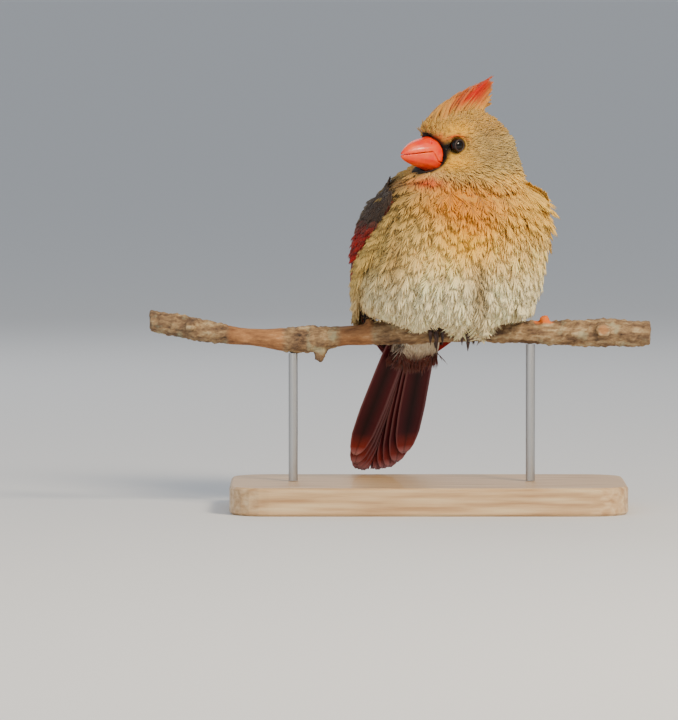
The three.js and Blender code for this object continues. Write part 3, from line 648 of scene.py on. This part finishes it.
hem = {
    "ragged": 0.8, "upTo": 100,  # above upTo no lock is left out
    "across": [-30, -25, -13, -4, -1, 5, 11, 13, 15.5, 19.5, 23.3, 27, 33, 39, 45, 50],
    "height": [86, 84, 81.5, 77.5, 79.5, 81, 79.5, 73.6, 79.5, 79.5, 73.2, 78.5, 82, 82, 83.5, 88],
}


def hemHeight(spots):
    ragged = rng.normal(0, hem["ragged"], len(spots))
    return np.interp(spots[:, 0], hem["across"], hem["height"]) + ragged


def coatFeathers(skin, spacing, barbs, keepWhere):
    area = sum(face.area for face in skin.data.polygons) / mm ** 2
    at, out = rooted(skin.data, int(6 * area / spacing ** 2), 0.86 * spacing)
    keep = keepWhere(at) & bareRooms(at)
    at, out = at[keep], out[keep]
    lie = lieOf(at, out)
    turn = rng.normal(0, 0.12, (len(at), 1))
    lie = unit(lie * np.cos(turn) + np.cross(out, lie) * np.sin(turn))
    length, lift = coatSizes(at)
    length = length * rng.uniform(0.8, 1.15, len(at))
    lift = lift * rng.uniform(0.6, 1.4, len(at))
    tone = rng.normal(1, 0.06, (len(at), 1))
    start, barbLie, barbLength, owner = fanned(at, out, lie, length, lift, barbs)
    drop = start[:, 2] - hemHeight(start)  # the hem cuts the locks that would hang below it
    barbLength = np.clip(barbLength, 0, np.maximum(0, drop / np.maximum(0.05, -barbLie[:, 2] * 0.95)))
    full = (barbLength > coat["shortest"]) | (start[:, 2] > hem["upTo"])
    start, barbLie, barbLength, owner = start[full], barbLie[full], barbLength[full], owner[full]
    middle = start + barbLie * (0.5 * barbLength)[:, None]
    tip = start + barbLie * barbLength[:, None]
    # the middle of each lock is painted a little darker (0.95) and its tip brighter (1.1) than the markings:
    # painted shade in the coat and painted light on the feather ends
    colours = np.clip(markings(middle) * tone[owner] * 0.95, 0, 1)
    tips = np.clip(markings(tip) * tone[owner] * 1.1, 0, 1)
    width = np.clip(coat["lockWidth"] * length[owner], coat["narrowest"], coat["widest"])
    width = width * rng.uniform(0.75, 1.25, len(owner))
    print("feathers", len(at), "locks", len(owner))
    return start, out[owner], barbLie, barbLength, width, lift[owner] * 0.8, colours, tips


def coatPieces(skin):
    body = coatFeathers(skin, coat["bodySpacing"], coat["bodyBarbs"], lambda at: at[:, 2] < 146)
    head = coatFeathers(skin, coat["headSpacing"], coat["headBarbs"], lambda at: at[:, 2] >= 143)
    whole = [np.concatenate(pair) for pair in zip(body, head)]
    order = rng.permutation(len(whole[0]))
    for index, first in enumerate(range(0, len(order), coat["perPiece"])):
        part = order[first:first + coat["perPiece"]]
        piece = lockMesh("coatLocks%d" % index, *[values[part] for values in whole])
        wear(piece, finishes["down"], "body_plumage")
    print("coat locks", len(order))


# Stiff feathers with a shaft and a UV map that runs along and across the vane

def vaneGrid(spine, halfWidth, outline, camber, thickness, rows, columns, colourAt):
    # spine gives middle, side and face at 0 to 1; colourAt gives the colour at (along, across)
    along = 1 - (1 - np.linspace(0, 1, rows + 1)) ** 1.4
    across = np.linspace(-1, 1, columns + 1)
    spots, shades, barbs = [], [], []
    for face in (1, -1):
        for t in along:
            middle, side, up = spine(t)
            wide = halfWidth * outline(t)
            for a in across:
                lift = camber * (1 - a * a) + face * thickness * (1 - 0.6 * t) * (1 - 0.55 * a * a) / 2
                ridge = 0.16 * face * math.exp(-(a / 0.07) ** 2) * (1 - t)  # the shaft
                spots.append(middle + side * wide * a + up * (lift + ridge))
                shades.append(colourAt(t, a))
                barbs.append((a * 0.5 + 0.5, t * 2.2 + abs(a) * 0.25))
    w, h = columns + 1, rows + 1
    at = lambda c, r, f: f * w * h + r * w + c
    quads = []
    for r in range(rows):
        for c in range(columns):
            quads.append((at(c, r, 0), at(c + 1, r, 0), at(c + 1, r + 1, 0), at(c, r + 1, 0)))
            quads.append((at(c, r, 1), at(c, r + 1, 1), at(c + 1, r + 1, 1), at(c + 1, r, 1)))
    # the edges: root, end and both sides
    for c in range(columns):
        quads.append((at(c, 0, 1), at(c + 1, 0, 1), at(c + 1, 0, 0), at(c, 0, 0)))
        quads.append((at(c + 1, rows, 1), at(c, rows, 1), at(c, rows, 0), at(c + 1, rows, 0)))
    for r in range(rows):
        quads.append((at(0, r + 1, 1), at(0, r, 1), at(0, r, 0), at(0, r + 1, 0)))
        quads.append((at(columns, r, 1), at(columns, r + 1, 1), at(columns, r + 1, 0), at(columns, r, 0)))
    return np.array(spots), np.array(quads), np.array(shades), np.array(barbs)


def strap(t):
    return np.interp(t, [0, 0.12, 0.35, 0.7, 0.86, 0.94, 0.98, 1],
                     [0.45, 0.72, 0.95, 1, 0.9, 0.68, 0.42, 0.12])


def leaf(t):
    return np.interp(t, [0, 0.15, 0.4, 0.65, 0.85, 0.95, 1], [0.4, 0.8, 1, 0.95, 0.66, 0.36, 0.08])


def joined(name, grids, material, slot, *nodes):
    spots, faces, shades, barbs, start = [], [], [], [], 0
    for gridSpots, quads, gridShades, gridBarbs in grids:
        spots.append(gridSpots)
        faces.append(quads + start)
        shades.append(gridShades)
        barbs.append(gridBarbs)
        start += len(gridSpots)
    spots = np.vstack(spots)
    piece = meshFrom(name, spots, np.vstack(faces), np.vstack(shades), unwrapped(spots), np.vstack(barbs))
    select(piece)
    bpy.ops.object.mode_set(mode="EDIT")
    bpy.ops.mesh.select_all(action="SELECT")
    bpy.ops.mesh.normals_make_consistent(inside=False)
    bpy.ops.object.mode_set(mode="OBJECT")
    return wear(piece, material, slot, *nodes)


# The crest: long narrow feathers from the crown to the crest's point

crest = {
    "root": [(-8.5, 7.0), (-2, 12.0), (6, 15.6), (14, 16.5), (19, 15.5)],
    "tip": [(0, 18.6), (11, 23.8), (31.5, 31), (29.5, 25), (28.5, 18)],
    "feathers": 230, "halfWidth": 1.2, "camber": 0.12, "thickness": 0.22, "aside": 5.4,
}


def alongRun(stations, share):
    stations = np.array(stations, float)
    places = np.linspace(0, 1, len(stations))
    return np.array([np.interp(share, places, stations[:, k]) for k in range(stations.shape[1])])


def crestPiece():
    grids = []
    draw = np.random.default_rng(21)
    red, buff = inks["crest"], inks["crown"]
    for i in range(crest["feathers"]):
        share = (i + draw.uniform(0, 1)) / crest["feathers"]
        aside = draw.uniform(-1, 1)
        root = alongRun(crest["root"], share)
        tip = alongRun(crest["tip"], min(1, share * draw.uniform(0.92, 1.08)))
        reach = draw.uniform(0.78, 1.0) * (1 - 0.12 * abs(aside))
        start = np.array((aside * crest["aside"], root[0], root[1] - 2.6 * abs(aside) - 1))
        end = np.array((aside, *(root + (tip - root) * reach)))
        path = end - start
        sideways = unit(np.array((1, draw.normal(0, 0.25), draw.normal(0, 0.25))))
        face = unit(np.cross(sideways, path))
        bow = draw.uniform(0.6, 2.0)

        def spine(t, start=start, path=path, sideways=sideways, face=face, bow=bow):
            middle = start + path * t + face * bow * math.sin(math.pi * t)
            turn = headFrame[:3, :3]
            return toWorld(headFrame, middle), turn @ sideways, turn @ face

        heart = 0.12 + 0.88 * math.exp(-((share - 0.50) / 0.27) ** 2)
        tone = draw.uniform(0.85, 1.15)

        def colourAt(t, a, heart=heart, tone=tone):
            amount = heart * ease(t, 0.15, 0.5) * (1 - 0.35 * ease(t, 0.85, 1.0))
            return np.clip((buff * (1 - amount) + red * amount) * tone, 0, 1)

        halfWidth = crest["halfWidth"] * draw.uniform(0.7, 1.2)
        grids.append(vaneGrid(spine, halfWidth, leaf, crest["camber"], crest["thickness"], 5, 2, colourAt))
    joined("crestFeathers", grids, finishes["down"], "crest_plumage", "crest")
    print("crest", crest["feathers"])


# Wings, folded over the flanks. The two edges are those of the solids

wing = {
    "lower": [(36.6, -11, 130), (40.6, 1, 113), (38.2, 11, 96), (29, 28, 80), (13.5, 41, 66)],
    "upper": [(31, 2, 137), (31.5, 20, 126), (25, 31.5, 109), (15.5, 36.5, 89), (6.5, 42.5, 69)],
    "swell": 1.4,
    "lean": [0, 0, 0.4, 2.4, 4.2, 5, 4.4], "leanFrom": 76, "leanTo": 150,
    "roll": 0.16,  # radians that a feather is turned about its shaft, so that each overlaps the next
    "camber": 0.5, "thickness": 0.4, "rootUnder": 0.9,
    "bedVoxel": 0.9, "bedRounds": 3, "bedUnder": 0.35,
    "umber": "#38241f", "ash": "#4a3226", "rosy": "#b3201a", "olive": "#4d3a28",
}
# u runs along the folded wing and v over it from the lower edge to the upper.
# Each tier: feathers, start (u, v), its change over the tier, end (u, v), its change,
# half width, height over the wing, its change, colour, share of red at the edge, rows, columns
flightTiers = [
    (7, (0.45, 0.12), (0, 0.2), (1.04, 0.5), (-0.26, -0.36), 4.4, -0.6, 0.8, "umber", 0.75, 10, 6),
    (6, (0.4, 0.18), (0, 0.46), (0.78, 0.18), (-0.06, 0.48), 4.6, 0.7, 0.5, "umber", 0.9, 10, 6),
    (3, (0.32, 0.66), (0, 0.16), (0.76, 0.72), (-0.16, 0.18), 5.4, 1.5, 0.7, "ash", 0.3, 10, 6),
]
covertTiers = [
    (9, (0.28, 0.05), (-0.06, 0.85), (0.5, 0.06), (-0.07, 0.8), 3.4, 1.6, 0, "umber", 0.85, 7, 4),
    (9, (0.13, 0.04), (0, 0.88), (0.31, 0.05), (0, 0.86), 3.2, 1.3, 0, "ash", 0.6, 6, 4),
]
lesserRows = [(-0.05, 0.1), (0.01, 0.17), (0.07, 0.24)]  # start and end along the wing


def smoothRun(points, u):
    points = np.array(points, float)
    last = len(points) - 1
    u = np.clip(u, -0.2, 1.1) * last
    i = int(np.clip(math.floor(u), 0, last - 1))
    t = u - i
    p1, p2 = points[i], points[i + 1]
    p0 = points[i - 1] if i > 0 else 2 * p1 - p2
    p3 = points[i + 2] if i < last - 1 else 2 * p2 - p1
    bend, twist = 2 * p0 - 5 * p1 + 4 * p2 - p3, 3 * p1 - p0 - 3 * p2 + p3
    return 0.5 * (2 * p1 + (p2 - p0) * t + bend * t * t + twist * t ** 3)


def wingSpot(side, u, v):
    lower, upper = smoothRun(wing["lower"], u), smoothRun(wing["upper"], u)
    spot = lower + (upper - lower) * v
    out = unit(np.array((spot[0], spot[1] * 0.8, 0)))
    spot = spot + out * 4 * wing["swell"] * v * (1 - v)
    heights = np.linspace(wing["leanFrom"], wing["leanTo"], len(wing["lean"]))
    return spot * (side, 1, 1) + (np.interp(spot[2], heights, wing["lean"]), 0, 0)


def wingFeather(side, start, finish, halfWidth, layer, outline, colourAt, rows, columns):
    start, path = np.array(start), np.array(finish) - start

    def spine(t):
        u, v = start + path * t
        here = wingSpot(side, u, v)
        along = unit(wingSpot(side, u + 0.02 * path[0], v + 0.02 * path[1]) - here)
        across = unit(wingSpot(side, u, v + 0.02) - wingSpot(side, u, v - 0.02))
        out = unit(np.cross(across, along))
        out = out if out @ (here * (1, 1, 0)) > 0 else -out
        flat = unit(np.cross(out, along))
        c, s = math.cos(side * wing["roll"]), math.sin(side * wing["roll"])
        flat, up = flat * c + out * s, out * c - flat * s
        lift = (layer + wing["rootUnder"]) * ease(t, 0, 0.35) - wing["rootUnder"]
        turn = bodyFrame[:3, :3]
        return toWorld(bodyFrame, here + out * lift), turn @ flat, turn @ up

    return vaneGrid(spine, halfWidth, outline, wing["camber"], wing["thickness"], rows, columns, colourAt)


# Soft feathers of the shoulder and back that hide the root of the wing

shoulder = {"feathers": 400, "barbs": 15, "length": 10, "lift": 12, "width": 0.5, "reach": 0.27}
flankEdge = {"feathers": 430, "from": -0.04, "to": 0.78, "lowest": -0.36, "length": 11, "turn": 0.1}


def wingRoots(side, places, turn):
    # roots on the wing, with the way out and the lie of the feathers, turned up over the wing
    at, out, lie = [], [], []
    for u, v, rise in places:
        here = wingSpot(side, u, v)
        along = unit(wingSpot(side, u + 0.02, v) - here)
        across = unit(wingSpot(side, u, v + 0.02) - here)
        face = unit(np.cross(across, along))
        face = face if face @ (here * (1, 1, 0)) > 0 else -face
        at.append(here + rise * face)
        out.append(face)
        lie.append(unit(along + turn * across))
    at = toWorld(bodyFrame, np.array(at))
    return at, np.array(out) @ bodyFrame[:3, :3].T, np.array(lie) @ bodyFrame[:3, :3].T


def overWing(name, at, out, lie, length, colours):
    length = length * rng.uniform(0.75, 1.15, len(at))
    lift = math.radians(shoulder["lift"]) * rng.uniform(0.6, 1.4, len(at))
    start, barbLie, barbLength, owner = fanned(at, out, lie, length, lift, shoulder["barbs"])
    tone = rng.normal(1, 0.08, (len(at), 1))
    colours, width = colours[owner] * tone[owner], shoulder["width"] * rng.uniform(0.75, 1.25, len(owner))
    # the lock tips are painted 12% brighter than the roots: painted light on the feather ends
    piece = lockMesh(name, start, out[owner], barbLie, barbLength, width, lift[owner] * 0.8,
                     np.clip(colours, 0, 1), np.clip(colours * 1.12, 0, 1))
    wear(piece, finishes["down"], "body_plumage")


def shoulderFeathers(side):
    label = "Left" if side > 0 else "Right"
    draw = np.random.default_rng(31 + side)
    forward, rise = (-0.3, 0.7) if side > 0 else (-0.45, 1.5)
    places = []
    for _ in range(shoulder["feathers"]):
        share = draw.uniform(forward, 1)
        places.append((shoulder["reach"] * share, draw.uniform(-0.05, 1.1), rise - 0.4 * share))
    at, out, lie = wingRoots(side, places, 0)
    front = ease(-at[:, 1:2], -8, 10)
    dark = inks["shoulder"] * front + inks["mantle"] * 0.8 * (1 - front)
    pale = ease(at[:, :1], 26, 36) * ease(at[:, 2:], 116, 128)
    wedge = ease(-at[:, 2:], -129, -122) * front * draw.uniform(0.55, 1, (len(at), 1))
    colours = blend(dark * (1 - pale) + inks["paleShoulder"] * pale, "wingRed", wedge)
    overWing("shoulderLocks" + label, at, out, lie, shoulder["length"], colours)
    places = []
    for _ in range(flankEdge["feathers"]):
        u = draw.uniform(flankEdge["from"], flankEdge["to"])
        highest = -0.12 + 0.26 * ease(u, 0.34, 0.52)
        v = draw.uniform(flankEdge["lowest"], highest)
        places.append((u, v, draw.uniform(-1.6, -0.2)))
    at, out, lie = wingRoots(side, places, flankEdge["turn"])
    overWing("flankLocks" + label, at, out, lie, flankEdge["length"], markings(at))


def wingPieces():
    tintNames = ("umber", "ash", "rosy", "olive")
    tints = dict(zip(tintNames, tintsOf(wing, *tintNames)))
    draw = np.random.default_rng(5)

    def rosyEdge(edge, ground, amount):
        tone = draw.uniform(0.88, 1.12)

        def colourAt(t, a):
            outer = ease(-a * edge, -0.25, 0.5) * amount
            colour = ground * (1 - outer) + tints["rosy"] * outer
            return np.clip(colour * tone * (0.85 + 0.15 * t), 0, 1)

        return colourAt

    for side, label in ((1, "Left"), (-1, "Right")):
        grids = []
        for outline, tiers in ((strap, flightTiers), (leaf, covertTiers)):
            for count, start, step, end, endStep, half, layer, layerStep, tint, red, rows, columns in tiers:
                for share in np.linspace(0, 1, count):
                    grids.append(wingFeather(side, np.add(start, np.multiply(step, share)),
                                             np.add(end, np.multiply(endStep, share)), half,
                                             layer + layerStep * share, outline,
                                             rosyEdge(side, tints[tint], red), rows, columns))
        # small coverts: dark on the right wing, and pale and flat under the left shoulder's down
        layer, ground, red = (0, inks["paleShoulder"], 0) if side > 0 else (0.8, tints["olive"], 0.25)
        for start, end in lesserRows:
            for share in np.linspace(0, 1, 11):
                grids.append(wingFeather(side, (start, 0.02 + 0.94 * share), (end, 0.03 + 0.92 * share), 2.7,
                                         layer, leaf, rosyEdge(side, ground, red), 5, 4))
        joined("wingFeathers" + label, grids, finishes["vane"], "wing_plumage")
        shoulderFeathers(side)
        # the covered part of the wing, under its feathers
        core = copyOf("wingBed" + label, "wing_" + label.lower())
        remeshed(core, wing["bedVoxel"], wing["bedRounds"])
        spots = spotsOf(core.data)
        placeSpots(core.data, spots - normalsOf(core.data) * wing["bedUnder"])
        pale = ease(spots[:, 2:], 122, 132) * ease(spots[:, :1], 20, 30)
        paint(core.data, tints["umber"] * 0.9 * (1 - pale) + inks["paleShoulder"] * 0.8 * pale)
        bakeMap(core.data, spots)
        wear(core, finishes["down"], "wing_plumage", "wing_" + label.lower())
    print("wings")


# The tail: six feathers a side, the outer ones lowest and shortest

tail = {
    "lengths": [88, 88, 87, 86, 83, 78], "shortened": 2, "halfWidth": 6.5, "rootStep": 0.85,
    "fan": 1.05, "layer": 0.8, "split": 0.15, "sag": 1.4, "camber": 0.35, "thickness": 0.4,
    "maroon": "#2b0712", "wine": "#5a1420", "rust": "#9a3220", "fringe": "#d8a3a6",
}
vent = {
    "locks": 9000, "width": 0.42, "upTo": 10, "aside": 9.5,
    "lift": 0.2,  # radians
    "bedCut": -24, "bedVoxel": 1.0, "bedRounds": 4, "bedUnder": 0.6, "paleFrom": 68, "paleTo": 73,
    "bedPale": "#6b453c", "bedDark": "#4a1f20", "white": "#ece4cf", "dun": "#6d3b33",
}


def tailPieces():
    maroon, wine, rust, fringe = tintsOf(tail, "maroon", "wine", "rust", "fringe")
    draw = np.random.default_rng(11)
    grids = []
    for side in (-1, 1):
        for i, whole in enumerate(tail["lengths"]):
            turn = math.radians((i + 0.5) * tail["fan"]) * side
            down = np.array((math.sin(turn), 0, -math.cos(turn)))
            across = np.array((math.cos(turn), 0, math.sin(turn)))
            start = np.array((side * (i + 0.5) * tail["rootStep"], 2.4 - i * tail["layer"], -2))
            long = whole - tail["shortened"]
            tone = draw.uniform(0.9, 1.12)

            def spine(t, start=start, down=down, across=across, long=long):
                middle = start + down * t * long + np.array((0, -tail["sag"] * t * t, 0))
                return middle, across, np.array((0, 1.0, 0))

            def colourAt(t, a, tone=tone):
                shaft = math.exp(-(a / 0.08) ** 2)
                outer = 0.6 * ease(abs(a), 0.1, 0.8)
                colour = maroon * (1 - outer) + wine * outer
                for ink, amount in ((rust, 0.75 * ease(t, 0.84, 0.97)),
                                    (fringe, 0.25 * ease(abs(a), 0.86, 1.0)),
                                    (fringe, 0.7 * ease(t, 0.96, 1.0))):
                    colour = colour * (1 - amount) + ink * amount
                return np.clip(colour * (1 - 0.45 * shaft) * tone, 0, 1)

            spots, quads, shades, barbs = vaneGrid(spine, tail["halfWidth"], strap, tail["camber"],
                                                   tail["thickness"], 16, 10, colourAt)
            spots[:, 0] = side * np.maximum(tail["split"], side * spots[:, 0])
            grids.append((toWorld(tailFrame, spots), quads, shades, barbs))
    joined("tailFeathers", grids, finishes["vane"], "tail_plumage")
    ventPieces()
    print("tail")


def ventPieces():
    # soft coverts over and under the tail's root, on a bed cut off below them
    bed = copyOf("ventBed", "undertail_coverts", "tail")
    remeshed(bed, vent["bedVoxel"], vent["bedRounds"])
    select(bed)
    bpy.ops.object.mode_set(mode="EDIT")
    bpy.ops.mesh.select_all(action="SELECT")
    cut = toWorld(tailFrame, (0, 0, vent["bedCut"])) * mm
    bpy.ops.mesh.bisect(plane_co=tuple(cut), plane_no=tuple(tailFrame[:3, 2]),
                        use_fill=True, clear_inner=True)
    bpy.ops.object.mode_set(mode="OBJECT")
    spots = spotsOf(bed.data)
    placeSpots(bed.data, spots - normalsOf(bed.data) * vent["bedUnder"])
    shade = ease(spots[:, 2:], vent["paleFrom"], vent["paleTo"])
    bedPale, bedDark, white, dun = tintsOf(vent, "bedPale", "bedDark", "white", "dun")
    paint(bed.data, bedPale * 0.7 * shade + bedDark * (1 - shade))
    bakeMap(bed.data, spots)
    wear(bed, finishes["down"], "body_plumage", "undertail_coverts", "tail")
    at, out = rooted(bed.data, vent["locks"])
    local = toLocal(tailFrame, at)
    keep = (local[:, 2] < vent["upTo"]) & (np.abs(local[:, 0]) < vent["aside"])
    at, out, local = at[keep], out[keep], local[keep]
    count = len(at)
    lie = np.tile(-tailFrame[:3, 2], (count, 1))
    lie = unit(lie - 0.95 * out * (lie * out).sum(axis=1, keepdims=True))
    length = rng.uniform(6, 9, count)
    under = ease(-local[:, 1:2], 0, 3) * ease(at[:, 2:], vent["paleFrom"], vent["paleTo"])
    colours = (white * under + dun * (1 - under)) * rng.normal(1, 0.08, (count, 1))
    # the lock roots are painted 10% darker than the tips: painted shade deep among the coverts
    piece = lockMesh("ventLocks", at, out, lie, length, np.full(count, vent["width"]),
                     np.full(count, vent["lift"]), np.clip(colours * 0.9, 0, 1), np.clip(colours, 0, 1))
    wear(piece, finishes["down"], "body_plumage")


# Bill, eyes, lids and feet

eye = {
    "radius": 2.9, "aside": 10.8, "sunk": 1.4, "up": 0.4,
    "lidRadius": 2.3, "lidWire": 0.42, "lidProud": 0.25,
}


def hardParts():
    for node, name in (("upper_beak", "upperBill"), ("lower_beak", "lowerBill")):
        horn = remeshed(copyOf(name, node), 0.28, 5)
        wear(horn, finishes["horn"], "bill_horn", node)
    ringReach = math.sqrt(eye["radius"] ** 2 - eye["lidRadius"] ** 2) + eye["lidProud"]
    for side, label in ((1, "left"), (-1, "right")):
        centre = np.array((side * (eye["aside"] - eye["sunk"]), 0, eye["up"]))
        bpy.ops.object.select_all(action="DESELECT")
        bpy.ops.mesh.primitive_uv_sphere_add(segments=40, ring_count=24, radius=eye["radius"] * mm,
                                             location=toWorld(headFrame, centre) * mm)
        ball = bpy.context.object
        ball.name = "eyeball_" + label
        bpy.ops.object.transform_apply(location=True)
        ball.data.shade_smooth()
        wear(ball, finishes["eye"], "eye", "eye_" + label)
        bpy.ops.object.select_all(action="DESELECT")
        bpy.ops.mesh.primitive_torus_add(major_segments=48, minor_segments=12,
                                         major_radius=eye["lidRadius"] * mm, minor_radius=eye["lidWire"] * mm,
                                         location=toWorld(headFrame, centre + (side * ringReach, 0, 0)) * mm,
                                         rotation=(0, math.radians(90), math.radians(headYaw)))
        ring = bpy.context.object
        ring.name = "eyelid_" + label
        bpy.ops.object.transform_apply(location=True, rotation=True)
        ring.data.shade_smooth()
        wear(ring, finishes["lid"], "head_plumage")
    for label in ("left", "right"):
        for name, node, voxel, rounds in (("toes_", "foot_", 0.28, 3), ("shank_", "leg_", 0.35, 2)):
            piece = remeshed(copyOf(name + label, node + label), voxel, rounds)
            wear(piece, finishes["foot"], "foot_scales", node + label)
    print("bill, eyes and feet")


# The branch: bark, two peeled lengths, a bare sawn knot and an orange bud

branch = {
    "voxel": 0.75, "rounds": 4, "ridge": 0.55, "grain": 0.3, "rough": 0.10, "under": 0.15,
    "bare": [(-86, -62), (-38, -24)], "bareEdge": 1.5, "knot": (75, -8, 77.5), "bud": (49.6, -2.2, 82),
    "feetAt": 10.5, "feetReach": 13,  # along the branch; nothing is raised under the toes
}


def barkPiece():
    wood = remeshed(copyOf("barkedTwig", "perch"), branch["voxel"], branch["rounds"])
    spots, normals = spotsOf(wood.data), normalsOf(wood.data)
    x, edge = spots[:, 0], branch["bareEdge"]
    bare = np.zeros(len(spots))
    for low, high in branch["bare"]:
        bare = np.maximum(bare, ease(x, low - edge, low + edge) * ease(-x, -high - edge, -high + edge))
    knot = np.exp(-(((spots - branch["knot"]) / (2.6, 2, 2.4)) ** 2).sum(axis=1) * 1.2)
    bare = np.maximum(bare, ease(knot, 0.25, 0.6))
    bud = np.exp(-(((spots - branch["bud"]) / (4.2, 4, 3.6)) ** 2).sum(axis=1))
    bud = ease(bud, 0.25, 0.45) * ease(spots[:, 2], 79.6, 80.8)
    around = np.arctan2(spots[:, 2] - 76, spots[:, 1])
    wobble = np.sin(x * 0.9 + 3 * around) * np.sin(x * 0.37 - 2 * around + 1.3)
    wobble += 0.6 * np.sin(x * 2.1 + 5 * around)
    knobs = np.sin(x * 0.21 + around) * np.sin(2 * around - x * 0.13)
    push = (1 - bare) * (branch["ridge"] * 0.5 * wobble + branch["grain"] * knobs) * (1 - bud)
    noise = rng.normal(0, branch["rough"], len(spots)) * (1 - bare)
    push = np.where(np.abs(x - branch["feetAt"]) < branch["feetReach"], np.minimum(push, 0), push)
    placeSpots(wood.data, spots + normals * (push + noise - branch["under"])[:, None])
    for name, values in (("bareWood", bare), ("budColour", bud)):
        layer = wood.data.attributes.new(name, "FLOAT", "POINT")
        layer.data.foreach_set("value", values)
    wear(wood, finishes["bark"], "bark", "perch")
    print("branch", len(wood.data.polygons))


def standPieces():
    for node, finish in (("stand_base", "plinth"), ("stand_rod_left", "rod"), ("stand_rod_right", "rod")):
        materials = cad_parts[node].data.materials
        materials.clear()
        materials.append(finishes[finish])


finishes = {
    "down": plumageMaterial(), "vane": vaneMaterial(), "horn": hornMaterial(),
    "eye": eyeMaterial(), "lid": lidMaterial(), "foot": footMaterial(), "bark": barkMaterial(),
    "plinth": plinthMaterial(), "rod": rodMaterial(),
}
setStage()
skin = skinPiece()
coatPieces(skin)
crestPiece()
wingPieces()
tailPieces()
hardParts()
barkPiece()
standPieces()
